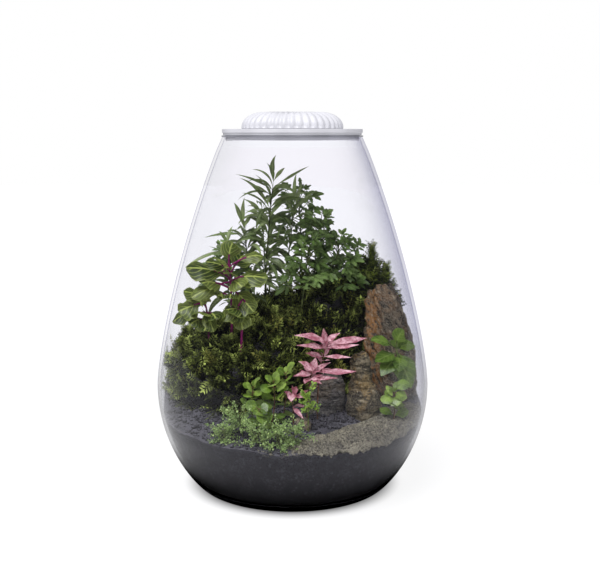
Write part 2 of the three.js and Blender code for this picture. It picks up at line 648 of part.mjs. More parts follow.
const stoneGuards = Object.values(STONES).map((spec) => lump(spec, FIT_GAP + 0.1));
const stemGuards = Object.values(STEMS).map((stem) => stemTube(stemCurve(stem), stem.kind.stem, FIT_GAP + 0.15));
const cutAway = (made, ...tools) => made.subtract(Manifold.union(tools.flat())).simplify(SMOOTHING);
const largestBody = (made) => made.decompose().sort((a, b) => b.volume() - a.volume())[0];

add("glass_vessel", glassVessel(), CLEAR_GLASS);
add("seal_ring", sealRing(), GREY_SILICONE);
add("lid_plate", lidPlate(), WHITE_PLASTIC);
add("led_board", ledBoard(), LED_BOARD_WHITE);
add("lamp_diffuser", lampDiffuser(), FROSTED_PLASTIC);
add("lamp_dome", lampDome(), WHITE_PLASTIC);
add("power_inlet", powerInlet(), BLACK_PLASTIC);

const soil = cutAway(soilBlock.intersect(cavity(FIT_GAP)), stoneGuards, stemGuards);
add("soil", soil, DARK_SOIL);
const stoneRoom = cavity(FIT_GAP);
for (const [name, spec] of Object.entries(STONES)) add(name, lump(spec).intersect(stoneRoom), spec.material);
const sand = cutAway(sandBed(), stoneGuards, stemGuards);
add("sand", largestBody(sand), PALE_SAND);

const mossRoom = cavity(GLASS_GAP);
let mossBefore = [];
for (const [name, moss] of Object.entries(MOSSES)) {
  const core = moss.lumps.map((spec) => lump(spec));
  const tufts = moss.lumps.flatMap((spec, i) => tuftsOn(spec, moss.tufts, i * 11 + name.length));
  const whole = Manifold.union([...core, ...tufts]).intersect(mossRoom);
  const shaped = cutAway(whole, [overSoil], stoneGuards, stemGuards, mossBefore);
  const body = largestBody(shaped);
  add(name, body, moss.material);
  mossBefore = [...moss.lumps.map((spec) => lump(spec, 1)), body];
}

const ground = [...placed.keys()].filter((name) => !["glass_vessel", "soil"].includes(name));
const leafRoom = cavity(GLASS_GAP).subtract(overSoil);
for (const [name, stem] of Object.entries(STEMS)) {
  const others = [...placed].filter(([other]) => ground.includes(other) || other in STEMS).map(([, made]) => made);
  const laterStems = Object.entries(STEMS)
    .filter(([other]) => !placed.has(other) && other !== name)
    .map(([, other]) => stemTube(stemCurve(other), other.kind.stem));
  add(name, leafyStem(stem, leafRoom, [...others, ...laterStems]), stem.kind.material);
}

export default terrarium;
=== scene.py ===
"""A closed glass terrarium with a lamp lid, planted with moss, stones, sand and small leafy plants.

Lengths in the tables and the shape functions are millimetres. Meshes are written in metres, +Z up, with the
vessel's foot at the origin. Bearings are degrees from +X towards +Y.
"""

import math
from functools import partial
from itertools import product

import bpy
import numpy as np
from bpy.props import FloatProperty, FloatVectorProperty, IntProperty, PointerProperty
from mathutils import Euler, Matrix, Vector, noise


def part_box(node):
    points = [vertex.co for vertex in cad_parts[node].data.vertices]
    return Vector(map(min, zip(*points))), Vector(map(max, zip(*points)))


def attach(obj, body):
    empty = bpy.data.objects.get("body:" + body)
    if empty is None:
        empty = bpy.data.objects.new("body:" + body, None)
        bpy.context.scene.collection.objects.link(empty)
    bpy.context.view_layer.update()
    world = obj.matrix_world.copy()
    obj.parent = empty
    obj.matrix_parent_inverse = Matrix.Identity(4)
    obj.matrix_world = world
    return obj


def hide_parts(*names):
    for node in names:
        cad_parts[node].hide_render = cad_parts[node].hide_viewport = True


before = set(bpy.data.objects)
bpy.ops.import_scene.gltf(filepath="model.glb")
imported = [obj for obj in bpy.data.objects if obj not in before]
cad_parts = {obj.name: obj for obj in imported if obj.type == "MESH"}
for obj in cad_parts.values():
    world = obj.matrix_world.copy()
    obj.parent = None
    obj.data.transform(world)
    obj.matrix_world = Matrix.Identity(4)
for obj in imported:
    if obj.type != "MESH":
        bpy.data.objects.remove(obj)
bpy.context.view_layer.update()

bl_info = {
    "name": "Planted glass terrarium",
    "version": (1, 0, 0),
    "blender": (4, 5, 0),
    "location": "3D View > Sidebar > Terrarium",
    "description": "Models a closed glass terrarium with its lamp lid, ground, stones, moss and leafy plants",
    "category": "Add Mesh",
}

MM = 0.001
GOLDEN_ANGLE = 137.508
GLASS_BOX, PLATE_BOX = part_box("glass_vessel"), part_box("lid_plate")

# ---------------------------------------------------------------- sizes and colours that a user would change


def linear(code):
    """An sRGB hex colour as linear red, green and blue."""
    parts = [int(code[i : i + 2], 16) / 255 for i in (1, 3, 5)]
    return tuple(c / 12.92 if c <= 0.04045 else ((c + 0.055) / 1.055) ** 2.4 for c in parts)


def metres(name, description, default):
    return FloatProperty(name=name, description=description, default=default, min=0, unit="LENGTH")


def length(name, description, millimetres):
    return metres(name, description, millimetres * MM)


def number(name, description, default):
    return FloatProperty(name=name, description=description, default=default, min=0)


def colour(name, description, code):
    return FloatVectorProperty(
        name=name, description=description, default=linear(code), min=0, max=1, subtype="COLOR"
    )


class VesselSizes(bpy.types.PropertyGroup):
    height: metres("Height", "From the foot to the rim", GLASS_BOX[1].z)
    rim: length("Rim radius", "Outside radius of the mouth", 71.5)
    widest: metres("Widest radius", "Outside radius at the widest place", GLASS_BOX[1].x)
    widest_height: length("Widest height", "How high the widest place is", 105.5)
    foot: length("Foot radius", "Outside radius of the flat foot", 96.5)
    wall: length("Wall", "Thickness of the blown wall", 3)
    base: length("Base", "Thickness of the base", 5)


class LidSizes(bpy.types.PropertyGroup):
    seal: length("Seal thickness", "Height of the silicone seal", 1.3)
    plate_radius: metres("Plate radius", "Radius of the plate on the mouth", PLATE_BOX[1].x)
    plate_top: metres("Plate top", "Height of the plate's upper face", PLATE_BOX[1].z)
    dome_radius: length("Dome radius", "Radius of the finned lamp dome", 51.5)
    dome_height: length("Dome height", "Height of the lamp dome over the plate", 16.5)
    fins: IntProperty(name="Fins", description="Number of cooling fins", default=40, min=3)
    fin_depth: length("Fin depth", "Depth of the grooves between the fins", 1.8)


class GroundLook(bpy.types.PropertyGroup):
    soil: colour("Soil", "Damp potting mix with charcoal", "#39383d")
    soil_fleck: colour("Soil flecks", "Mineral flecks in the soil", "#38373c")
    sand: colour("Sand", "Main colour of the quartz sand", "#aca68e")
    sand_dark: colour("Dark grains", "Dark grains in the sand", "#37322b")
    sand_gap: length("Grain spacing", "Distance between sand grains", 0.9)


class PlantLook(bpy.types.PropertyGroup):
    moss_shoots: IntProperty(
        name="Moss shoots", description="Shoots on each moss cushion", default=4300, min=10
    )
    # The root colour is near black: painted shade deep among the shoots.
    moss_deep: colour("Moss, deep", "Colour at the root of a moss shoot", "#050802")
    moss_tip: colour("Moss, tip", "Colour at the tip of a moss shoot", "#c2d270")
    stem_green: colour("Green stems", "Stems of the green plants", "#66703f")
    stem_magenta: colour("Magenta stems", "Stems of the veined plant", "#8a1462")


class StageLook(bpy.types.PropertyGroup):
    floor: colour("Floor", "Pale acrylic floor, lit from below", "#626264")
    backlight: number("Backlight", "Strength of the light under the floor", 0.88)
    ambient: number("Ambient", "Strength of the even light from all round", 0.45)
    key: number("Key light", "Strength of the soft light from the left", 3.1)
    fill: number("Fill light", "Strength of the soft light from the right", 0.75)
    focal_length: FloatProperty(name="Focal length", description="Camera lens", default=58.55, unit="CAMERA")


# ---------------------------------------------------------------- small tools


def unit(vectors):
    """Vectors of the same directions, one long."""
    return vectors / np.maximum(np.linalg.norm(vectors, axis=-1, keepdims=True), 1e-9)


def mix(a, b, share):
    """A value on the way from a to b."""
    return a + (b - a) * share


def smoothstep(share):
    """A share eased in and out, and kept between 0 and 1."""
    s = np.clip(share, 0, 1)
    return s * s * (3 - 2 * s)


def draw(seed):
    """A repeatable number between 0 and 1 for a whole-number seed."""
    wave = math.sin(seed * 12.9898 + 4.1) * 43758.5453
    return wave - math.floor(wave)


def bezier(corners, t):
    """Places on a quadratic or cubic Bezier curve at the shares t."""
    points = [np.asarray(p, float)[None] * np.ones((len(t), 1)) for p in corners]
    while len(points) > 1:
        points = [mix(a, b, t[:, None]) for a, b in zip(points, points[1:])]
    return points[0]


def deselect_all():
    if bpy.context.mode != "OBJECT":
        bpy.ops.object.mode_set(mode="OBJECT")
    bpy.ops.object.select_all(action="DESELECT")


def select_only(piece):
    deselect_all()
    piece.select_set(True)
    bpy.context.view_layer.objects.active = piece


def apply_modifier(piece, kind, **settings):
    select_only(piece)
    modifier = piece.modifiers.new(kind.lower(), kind)
    for key, value in settings.items():
        setattr(modifier, key, value)
    bpy.ops.object.modifier_apply(modifier=modifier.name)


def name_piece(name):
    """Names the active object and its mesh, and settles its place into the mesh."""
    piece = bpy.context.object
    bpy.ops.object.transform_apply(location=True, rotation=True, scale=True)
    piece.name = piece.data.name = name
    return piece


def place(piece, node, slot, *materials):
    """Gives a finished piece its materials and body, and hides the CAD node that it stands for, if any. The
    slot is not used.
    """
    for material in materials:
        piece.data.materials.append(material)
    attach(piece, "root")
    if node:
        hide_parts(node)


def close_mesh(piece):
    """Merges a piece's doubled points and turns its faces outwards."""
    select_only(piece)
    bpy.ops.object.mode_set(mode="EDIT")
    bpy.ops.mesh.select_all(action="SELECT")
    bpy.ops.mesh.remove_doubles(threshold=2e-6)
    bpy.ops.mesh.normals_make_consistent(inside=False)
    bpy.ops.object.mode_set(mode="OBJECT")


def revolve(name, profile, steps=128):
    """Spins (radius, height) pairs round the vertical axis. The profile closes on the axis or on itself."""
    deselect_all()
    radius, height = profile[0]
    bpy.ops.mesh.primitive_plane_add(size=MM, location=(radius * MM, 0, height * MM))
    bpy.ops.object.mode_set(mode="EDIT")
    bpy.ops.mesh.merge(type="CENTER")
    for (r0, z0), (r1, z1) in zip(profile, profile[1:]):
        step = ((r1 - r0) * MM, 0, (z1 - z0) * MM)
        bpy.ops.mesh.extrude_region_move(TRANSFORM_OT_translate={"value": step})
    bpy.ops.mesh.select_all(action="SELECT")
    bpy.ops.mesh.spin(steps=steps, angle=2 * math.pi, center=(0, 0, 0), axis=(0, 0, 1))
    bpy.ops.object.mode_set(mode="OBJECT")
    close_mesh(bpy.context.object)
    return name_piece(name)


def arc(centre, radius, first, last, steps):
    """Points on a circle in the profile's plane, between two angles in degrees."""
    turns = np.radians(np.linspace(first, last, steps))
    return [(centre[0] + radius * math.cos(a), centre[1] + radius * math.sin(a)) for a in turns]


class MeshBatch:
    """Gathers curved grids and copies of small templates into one mesh."""

    def __init__(self):
        self.points, self.faces, self.uvs, self.tones, self.slots = [], [], [], [], []
        self.count = 0

    def _keep(self, points, faces, uvs, tones, slot):
        self.points.append(points)
        self.faces.append(faces + self.count)
        self.uvs.append(uvs)
        self.tones.append(tones)
        self.slots.append(np.full(len(faces), slot))
        self.count += len(points)

    def grid(self, points, tone=0.5, slot=0, wrap=False):
        """A sheet from rows and columns of points. wrap closes each row into a ring."""
        rows, cols = points.shape[:2]
        index = np.arange(rows * cols).reshape(rows, cols)
        if wrap:
            index = np.hstack([index, index[:, :1]])
        faces = np.stack([index[:-1, :-1], index[:-1, 1:], index[1:, 1:], index[1:, :-1]], -1).reshape(-1, 4)
        across, along = np.meshgrid(np.linspace(0, 1, cols), np.linspace(0, 1, rows))
        uvs = np.stack([across, along], -1).reshape(-1, 2)
        self._keep(points.reshape(-1, 3), faces, uvs, np.full(rows * cols, tone), slot)

    def copies(self, template, origins, axes, tones, slot=0):
        """Copies of a template (points, faces, uvs), each at an origin, turned and scaled by three axes."""
        points, faces, uvs = template
        placed = np.einsum("pk,nkj->npj", points, axes) + origins[:, None]
        shifted = faces[None] + (np.arange(len(origins)) * len(points))[:, None, None]
        self._keep(
            placed.reshape(-1, 3),
            shifted.reshape(-1, 4),
            np.tile(uvs, (len(origins), 1)),
            np.repeat(tones, len(points)),
            slot,
        )

    def build(self, name, keep=None, weld=False):
        """Writes the mesh in metres. keep moves the points into the space that they may fill."""
        points = np.concatenate(self.points)
        if keep is not None:
            points = keep(points)
        faces = np.concatenate(self.faces).astype(np.int32)
        mesh = bpy.data.meshes.new(name)
        mesh.vertices.add(len(points))
        mesh.vertices.foreach_set("co", (points * MM).ravel())
        mesh.loops.add(faces.size)
        mesh.loops.foreach_set("vertex_index", faces.ravel())
        mesh.polygons.add(len(faces))
        mesh.polygons.foreach_set("loop_start", np.arange(len(faces), dtype=np.int32) * 4)
        mesh.polygons.foreach_set("material_index", np.concatenate(self.slots).astype(np.int32))
        mesh.polygons.foreach_set("use_smooth", np.ones(len(faces), bool))
        layer = mesh.uv_layers.new(name="surface")
        layer.data.foreach_set("uv", np.concatenate(self.uvs)[faces.ravel()].ravel())
        tone = mesh.attributes.new("tone", "FLOAT", "POINT")
        tone.data.foreach_set("value", np.concatenate(self.tones).astype(np.float32))
        mesh.update(calc_edges=True)
        piece = bpy.data.objects.new(name, mesh)
        bpy.context.scene.collection.objects.link(piece)
        if weld:
            close_mesh(piece)
        return piece


# ---------------------------------------------------------------- the vessel's outline and the ground's shape


class Vessel:
    """The vessel's outline in millimetres, worked out from its sizes."""

    def __init__(self, sizes):
        foot, widest, level = sizes.foot / MM, sizes.widest / MM, sizes.widest_height / MM
        rim, height = sizes.rim / MM, sizes.height / MM
        wall, base = sizes.wall / MM, sizes.base / MM
        # Outside, two curves meet at the widest place.
        share = np.linspace(0, 1, 25)
        lower = bezier([(foot, 0), (foot + 6, 0.5), (widest, level * 0.41), (widest, level)], share)
        shoulder = (rim + 46.5, height - 111.5)
        upper = bezier([(widest, level), (widest, level + 30), shoulder, (rim, height)], share)
        self.outside = np.vstack([lower, upper[1:]])
        # Inside, the wall runs a wall's thickness away from them and turns into the base in a round heel.
        along = unit(np.gradient(self.outside, axis=0))
        inner = self.outside + wall * np.column_stack([-along[:, 1], along[:, 0]])
        inner[-1, 1] = height
        walls = inner[inner[:, 1] > base + 6]
        corner = (walls[0][0] - 7, base)
        heel = bezier([(corner[0] - 12, base), corner, tuple(walls[0])], np.linspace(0, 1, 8))
        self.inside = np.vstack([[(0, base)], heel[:-1], walls])
        self.height = height
        self.rim = rim
        self.wall = wall

    def room(self, heights, gap):
        """How far from the axis something may reach at these heights."""
        return np.interp(heights, self.inside[1:, 1], self.inside[1:, 0]) - gap

    def hold(self, gap):
        """A function that moves points inwards until they are clear of the glass by gap."""

        def inwards(points):
            away = np.hypot(points[:, 0], points[:, 1])
            share = np.minimum(1, self.room(points[:, 2], gap) / np.maximum(away, 1e-6))
            points[:, :2] *= share[:, None]
            return points

        return inwards


def sand_reach(x, y):
    """0 in the middle of the sand and 1 at its edge.

    The middle is 118 mm from the axis at a bearing of -48 degrees. The edge is 34 mm nearer or farther out
    and 50 degrees to each side.
    """
    across = (np.hypot(x, y) - 118) / 34
    along = (np.degrees(np.arctan2(y, x)) + 48) / 50
    return np.hypot(across, along)


def soil_height(x, y):
    """The soil's surface: level in front, lower under the sand, and a bank across the back."""
    bank_start = mix(-16, 18, smoothstep((x + 50) / 90))
    bank = 44 * smoothstep((y - bank_start) / 60) * mix(0.7, 1, smoothstep((x + 90) / 150))
    ripple = 1.2 * np.sin(x / 13) * np.cos(y / 11) + 0.7 * np.sin((x + y) / 7)
    return 71 + 0.1 * (y + 141) + bank + ripple - 5 * smoothstep(1.35 - sand_reach(x, y))


def sand_height(x, y):
    """The sand's surface: a mound that rises to the back and falls away at its edge, with fine ripples."""
    reach = sand_reach(x, y)
    grain = 0.9 * np.sin(x / 4.1 + y / 9) * np.sin(y / 5.3)
    return 82 + 0.1 * (y + 70.5) + grain - 9 * reach**3


def crumble(x, y, size):
    """An uneven surface with lumps about size millimetres apart, between -1 and 1."""
    u, v = x / size, y / size
    coarse = np.sin(2.1 * u + 1.7 * np.sin(1.3 * v)) * np.sin(1.9 * v + 1.4 * np.sin(1.6 * u + 2))
    return 0.6 * coarse + 0.4 * np.sin(4.7 * u + 2.2 * v + 3 * coarse) * np.sin(4.1 * v - 2.6 * u)


def ground_rim(vessel, height, turns, gap, rounds=12):
    """How far from the axis a ground surface meets the glass, for each bearing in radians.

    Each round takes the room at the height that the last radius gives, until it has settled.
    """
    radius = np.full(len(turns), 130.0)
    for _round in range(rounds):
        radius = vessel.room(height(radius * np.cos(turns), radius * np.sin(turns)), gap)
    return radius


# ---------------------------------------------------------------- materials


SMOOTH = {"interpolation_type": "SMOOTHSTEP"}
COLOURS = {"data_type": "RGBA"}
TIMES, MINUS, LARGER = ({"operation": word} for word in ("MULTIPLY", "SUBTRACT", "MAXIMUM"))


def feed(socket, value):
    """Gives an input a number, a colour or a link, from a socket or from a node's first output."""
    if isinstance(value, bpy.types.Node):
        value = next(output for output in value.outputs if output.enabled)
    if isinstance(value, bpy.types.NodeSocket):
        socket.id_data.links.new(value, socket)
    elif socket.type == "RGBA":
        socket.default_value = (*value[:3], 1)
    else:
        socket.default_value = value


def add_node(tree, kind, *values, **named):
    """Adds a node. Values go to its inputs in order. A name in capitals is an input, another a setting."""
    made = tree.nodes.new("ShaderNode" + kind)
    for key, value in named.items():
        if key.islower():
            setattr(made, key, value)
    for socket, value in zip([socket for socket in made.inputs if socket.enabled], values):
        feed(socket, value)
    for key, value in named.items():
        if not key.islower():
            feed(made.inputs[key], value)
    return made


def new_material(name, **surface):
    """A material, its Principled shader with these inputs set, and a function that adds nodes to it."""
    material = bpy.data.materials.new(name)
    material.use_nodes = True
    shader = material.node_tree.nodes["Principled BSDF"]
    for key, value in surface.items():
        feed(shader.inputs[key.replace("_", " ")], value)
    return material, shader, partial(add_node, material.node_tree)


def grain(add, where, spacing, detail=2.0, stretch=(1, 1, 1)):
    """Noise whose lumps are spacing millimetres apart, stretched along the axes."""
    return add("TexNoise", add("VectorMath", where, stretch, **TIMES), 1 / (spacing * MM), detail)


def raise_surface(add, shader, height, strength, distance):
    """Bumps the surface by a height pattern. distance is in millimetres."""
    feed(shader.inputs["Normal"], add("Bump", Height=height, Strength=strength, Distance=distance * MM))


def surface_mix(material, add, share, *shaders):
    """Ends a material in a mix of two shaders, the second of which may be nothing at all."""
    feed(material.node_tree.nodes["Material Output"].inputs["Surface"], add("MixShader", share, *shaders))


def blown_glass():
    """Soda-lime glass, blown and fire-polished: clear, with a grey-lilac tint that deepens edge-on, and more
    so towards the right, which is painted shade.

    A ray that enters straight leaves straight, so the wall shows no false mirror bands at a slant.
    """
    material, shader, add = new_material("soda_lime_glass", Roughness=0.0, IOR=1.45, Transmission_Weight=1.0)
    feed(shader.inputs["Specular Tint"], (0.28, 0.28, 0.3))
    facing = add("LayerWeight", 0.5).outputs["Facing"]
    across, _, level = add("SeparateXYZ", add("TexCoord").outputs["Object"]).outputs
    # Painted shade: the edge-on tint is faint on the left, where the key light falls, and full on the right.
    painted_shade_to_right = add("MapRange", across, -0.08, 0.1, 0.1, 1.0, **SMOOTH)
    edge = add("Math", add("MapRange", facing, 0.15, 0.95, **SMOOTH), painted_shade_to_right, **TIMES)
    feed(shader.inputs["Base Color"], add("Mix", edge, linear("#f9f9fc"), linear("#d6d6df"), **COLOURS))
    wall = add("Mix", edge, linear("#fcfcfd"), linear("#e8e8ee"), **COLOURS)
    rim_line = add("MapRange", facing, 0.84, 0.97, **SMOOTH)
    clear = add("BsdfTransparent", add("Mix", rim_line, wall, linear("#dddce6"), **COLOURS))
    path = add("LightPath").outputs
    above_soil = add("MapRange", level, 0.09, 0.18, 0.0, 0.88, **SMOOTH)
    grazing = add("Math", add("MapRange", facing, 0.2, 0.66, **SMOOTH), above_soil, **TIMES)
    leaving = add("NewGeometry").outputs["Backfacing"]
    seen = add("Math", path["Is Camera Ray"], add("Math", grazing, leaving, **LARGER), **TIMES)
    unlit = add("Math", path["Is Shadow Ray"], path["Is Diffuse Ray"], **LARGER)
    surface_mix(material, add, add("Math", unlit, seen, **LARGER), shader, clear)
    return material


def moulded_plastic(name, base, shade, roughness, spacing, bump):
    """Moulded ABS or polycarbonate: even and satin, with the mould's fine spark texture and faint drift."""
    material, shader, add = new_material(name, Roughness=roughness, IOR=1.5)
    where = add("TexCoord").outputs["Object"]
    drift = add("MapRange", grain(add, where, 24, 1), 0.35, 0.65, **SMOOTH)
    feed(shader.inputs["Base Color"], add("Mix", drift, linear(base), linear(shade), **COLOURS))
    raise_surface(add, shader, grain(add, where, spacing, 3), bump, 0.05)
    return material


def circuit_board():
    """White solder mask over copper tracks: glossy, with the tracks as faint raised lines 4 mm apart."""
    material, shader, add = new_material("solder_mask", Roughness=0.35, IOR=1.5)
    where = add("TexCoord").outputs["Object"]
    tracks = add("TexWave", where, 1 / (4 * MM) / 6.28, 3.0).outputs["Fac"]
    line = add("MapRange", tracks, 0.45, 0.6, **SMOOTH)
    feed(shader.inputs["Base Color"], add("Mix", line, linear("#e7e9e4"), linear("#c9ccc2"), **COLOURS))
    raise_surface(add, shader, line, 0.4, 0.05)
    return material


def potting_soil(look, name="potting_soil"):
    """Damp potting mix with charcoal: near black crumbs 2 mm across, a few grey flecks, almost no gloss.

    Its lower part is painted near black as shade, and its upward faces are painted paler, in uneven patches,
    as top light.
    """
    material, shader, add = new_material(name, Roughness=0.88, IOR=1.4)
    bottom_shade_colour, dark, dry = (tuple(min(1.0, c * share) for c in look.soil) for share in (0.08, 0.45, 2.1))
    where = add("TexCoord").outputs["Object"]
    crumb = add("TexVoronoi", where, 1 / (2.2 * MM))
    drift = grain(add, where, 14, 3)
    ground = add("Mix", add("MapRange", drift, 0.3, 0.7, **SMOOTH), dark, look.soil, **COLOURS)
    crumbs = add("Mix", add("MapRange", crumb, 0.1, 0.75, **SMOOTH), ground, dark, **COLOURS)
    fleck = add("MapRange", add("SeparateColor", crumb.outputs["Color"]), 0.93, 0.97, **SMOOTH)
    flecked = add("Mix", fleck, crumbs, look.soil_fleck, **COLOURS)
    level = add("SeparateXYZ", where).outputs[2]
    # Painted shade: near black towards the bottom.
    bottom_shaded = add("Mix", add("MapRange", level, 0.045, 0.012, **SMOOTH), flecked, bottom_shade_colour, **COLOURS)
    # Painted top light: the upward faces turn paler, unevenly in patches.
    upward = add("SeparateXYZ", add("NewGeometry").outputs["True Normal"]).outputs[2]
    dried = add("MapRange", drift, 0.25, 0.6, 0.4, 1.0, **SMOOTH)
    top = add("Math", add("MapRange", upward, 0.3, 0.8, **SMOOTH), dried, **TIMES)
    feed(shader.inputs["Base Color"], add("Mix", top, bottom_shaded, dry, **COLOURS))
    raise_surface(add, shader, crumb, add("MapRange", upward, 0.3, 0.8, 0.05, 0.22, **SMOOTH), -0.5)
    return material


def quartz_sand(look):
    """Washed quartz sand: beige and grey grains, dark ones among them, a little coarser than life to show."""
    material, shader, add = new_material("quartz_sand", Roughness=0.8, IOR=1.5)
    where = add("TexCoord").outputs["Object"]
    cells = add("TexVoronoi", where, 1 / look.sand_gap)
    pick = add("SeparateColor", cells.outputs["Color"]).outputs
    tone = add("Attribute", attribute_name="tone").outputs["Fac"]
    pale = add("Mix", add("Mix", 0.65, pick[1], tone), linear("#2c2922"), look.sand, **COLOURS)
    patches = add("MapRange", grain(add, where, 14, 3), 0.4, 0.62, 0.0, 0.45, **SMOOTH)
    greyer = add("Mix", patches, pale, linear("#57544d"), **COLOURS)
    grains = add("Mix", add("MapRange", pick[0], 0.8, 0.86, **SMOOTH), greyer, look.sand_dark, **COLOURS)
    darkest = add("MapRange", tone, 0.86, 1.0, **SMOOTH)
    feed(shader.inputs["Base Color"], add("Mix", darkest, grains, look.sand_dark, **COLOURS))
    raise_surface(add, shader, cells, 0.45, -0.4)
    return material


def stone(name, colours, spacing, stretch, roughness, layers=0.0, stained_side=None, slant=0.0):
    """Natural stone: dark and pale patches, a stain, fine grit, and layers where the rock has them.

    colours are the base, the dark, the stain and the pale colour. spacing is the size of the patches, which
    are stretched along the axes, and layers the thickness of the layers. stained_side is where along X the
    stain ends, and slant how far the pattern leans in degrees. The pale colour is the grit's and is also
    painted as highlight on the raised seams, and the dark colour is also painted as shade in the low seams.
    """
    base, dark, stain, pale = (linear(code) for code in colours)
    material, shader, add = new_material(name, Roughness=roughness, IOR=1.5)
    place_on_stone = add("TexCoord").outputs["Object"]
    where = add("VectorRotate", place_on_stone, Angle=math.radians(slant), rotation_type="Y_AXIS")
    patch = add("MapRange", grain(add, where, spacing, 5, stretch), 0.42, 0.6, **SMOOTH)
    seams = grain(add, where, spacing * 0.5, 6, [s * 1.7 for s in stretch])
    blotches = add("MapRange", grain(add, where, spacing * 1.7, 3), 0.48, 0.62, **SMOOTH)
    if stained_side is not None:
        wave = add("Math", grain(add, where, 14, 3, (1, 1, 0.4)), 0.03, **TIMES)
        along = add("Math", add("SeparateXYZ", place_on_stone), wave)
        side = add("MapRange", along, (stained_side + 22) * MM, (stained_side + 6) * MM, **SMOOTH)
        streaks = add("MapRange", grain(add, where, 6, 5, (1, 1, 0.3)), 0.38, 0.56, 0.1, 1.0, **SMOOTH)
        fainter = add("Math", blotches, 0.25, **TIMES)
        blotches = add("Math", add("Math", side, streaks, **TIMES), fainter, **LARGER)
    body = add("Mix", patch, dark, base, **COLOURS)
    stained = add("Mix", blotches, body, stain, **COLOURS)
    # Painted highlight on the raised seams, then painted shade in the low seams.
    seam_highlight = add("MapRange", seams, 0.58, 0.7, 0.0, 0.8, **SMOOTH)
    seam_highlighted = add("Mix", seam_highlight, stained, pale, **COLOURS)
    seam_shaded = add("Mix", add("MapRange", seams, 0.46, 0.37, **SMOOTH), seam_highlighted, dark, **COLOURS)
    grit = add("MapRange", grain(add, where, 1.6, 4), 0.35, 0.7, 0.0, 0.35, **SMOOTH)
    finish = add("Mix", grit, seam_shaded, pale, **COLOURS)
    height = seams
    if layers:
        scale = 1 / (layers * MM) / 6.28
        band = add("TexWave", where, scale, 4.0, 3.0, bands_direction="Z").outputs["Fac"]
        finish = add("Mix", add("MapRange", band, 0.0, 0.25, 0.45, 0.0, **SMOOTH), finish, dark, **COLOURS)
        height = add("Math", seams, add("Math", band, 0.5, **TIMES))
    feed(shader.inputs["Base Color"], finish)
    raise_surface(add, shader, height, 0.9, 1.6)
    return material


def shoot_moss(name, deep, tip, dry):
    """Living moss: very dark at the root, which is painted shade deep among the shoots, and lighter green at
    each tip, with a few dry yellow shoots.
    """
    material, shader, add = new_material(name, Roughness=0.42, IOR=1.45)
    feed(shader.inputs["Specular Tint"], (0.42, 0.5, 0.3))
    where = add("TexCoord").outputs["Object"]
    along = add("SeparateXYZ", add("UVMap")).outputs[1]
    tone = add("Attribute", attribute_name="tone").outputs["Fac"]
    patch = add("MapRange", grain(add, where, 16, 2), 0.35, 0.65, 0.45, 1.0, **SMOOTH)
    # Painted shade: each shoot stays dark over its lower part and pales only near its tip.
    lit = add("Math", add("MapRange", along, 0.35, 1.05, **SMOOTH), patch, **TIMES)
    share = add("Math", lit, add("MapRange", tone, 0.0, 0.85, 0.1, 1.02, **SMOOTH), **TIMES)
    green = add("Mix", share, deep, tip, **COLOURS)
    dried = add("MapRange", tone, 0.9, 0.97, 0.0, 0.75, **SMOOTH)
    feed(shader.inputs["Base Color"], add("Mix", dried, green, dry, **COLOURS))
    raise_surface(add, shader, grain(add, where, 0.8, 2), 0.3, 0.3)
    return material


def leaf(
    name, colours, ribs=8, curve=1.2, width=0.1, veins=0.35, gloss=0.42, margin=0.0, blotch=0.0, bow=0.8
):
    """A living leaf: waxy skin over a blade that is paler along its midrib and side veins and uneven in tone.

    colours are the blade, its shade and the veins. ribs is the number of side veins, curve how far they run
    forward, bow how late they turn forward, width their share of the spacing, veins how strongly they show,
    margin how strongly the edge does, and blotch how mottled the blade is.
    """
    blade, deep, vein = (linear(code) for code in colours)
    material, shader, add = new_material(name, Roughness=gloss, IOR=1.45)
    where = add("TexCoord").outputs["Object"]
    across, along, _ = add("SeparateXYZ", add("UVMap")).outputs
    tone = add("Attribute", attribute_name="tone").outputs["Fac"]
    side = add("Math", add("Math", add("Math", across, 2.0, **TIMES), 1.0, **MINUS), operation="ABSOLUTE")
    bent = add("Math", add("Math", side, bow, operation="POWER"), curve, **TIMES)
    phase = add("Math", add("Math", add("Math", along, ribs, **TIMES), bent, **MINUS), operation="FRACT")
    ridge = add("Math", add("Math", phase, 0.5, **MINUS), operation="ABSOLUTE")
    branch = add("Math", add("MapRange", ridge, width * 1.6, width * 0.4, **SMOOTH), veins, **TIMES)
    midrib = add("MapRange", side, 0.1, 0.03, 0.0, min(1.0, veins * 1.6), **SMOOTH)
    edge = add("MapRange", side, 0.8, 0.96, 0.0, margin, **SMOOTH)
    lines = add("Math", add("Math", branch, midrib, **LARGER), edge, **LARGER)
    shaded = add("MapRange", grain(add, where, 7, 3), 0.35, 0.65, 0.0, 0.8, **SMOOTH)
    spots = add("MapRange", grain(add, where, 2.4, 3), 0.5, 0.62, 0.0, blotch, **SMOOTH)
    mottled = add("Mix", spots, add("Mix", shaded, blade, deep, **COLOURS), deep, **COLOURS)
    toned = add("Mix", add("MapRange", tone, 0.0, 1.0, 0.65, 0.0, **SMOOTH), mottled, deep, **COLOURS)
    light = add("Mix", add("MapRange", tone, 0.6, 1.0, 0.0, 0.22, **SMOOTH), toned, vein, **COLOURS)
    feed(shader.inputs["Base Color"], add("Mix", lines, light, vein, **COLOURS))
    raise_surface(add, shader, lines, 0.35, -0.25)
    glow = add("BsdfTranslucent", add("Mix", 0.5, light, vein, **COLOURS))
    surface_mix(material, add, 0.18, shader, glow)
    return material


def leaf_finish(key):
    """The material slot and the material of one kind of leaf."""
    slot, name, colours, look = LEAVES[key]
    return slot, leaf(name, colours, **look)


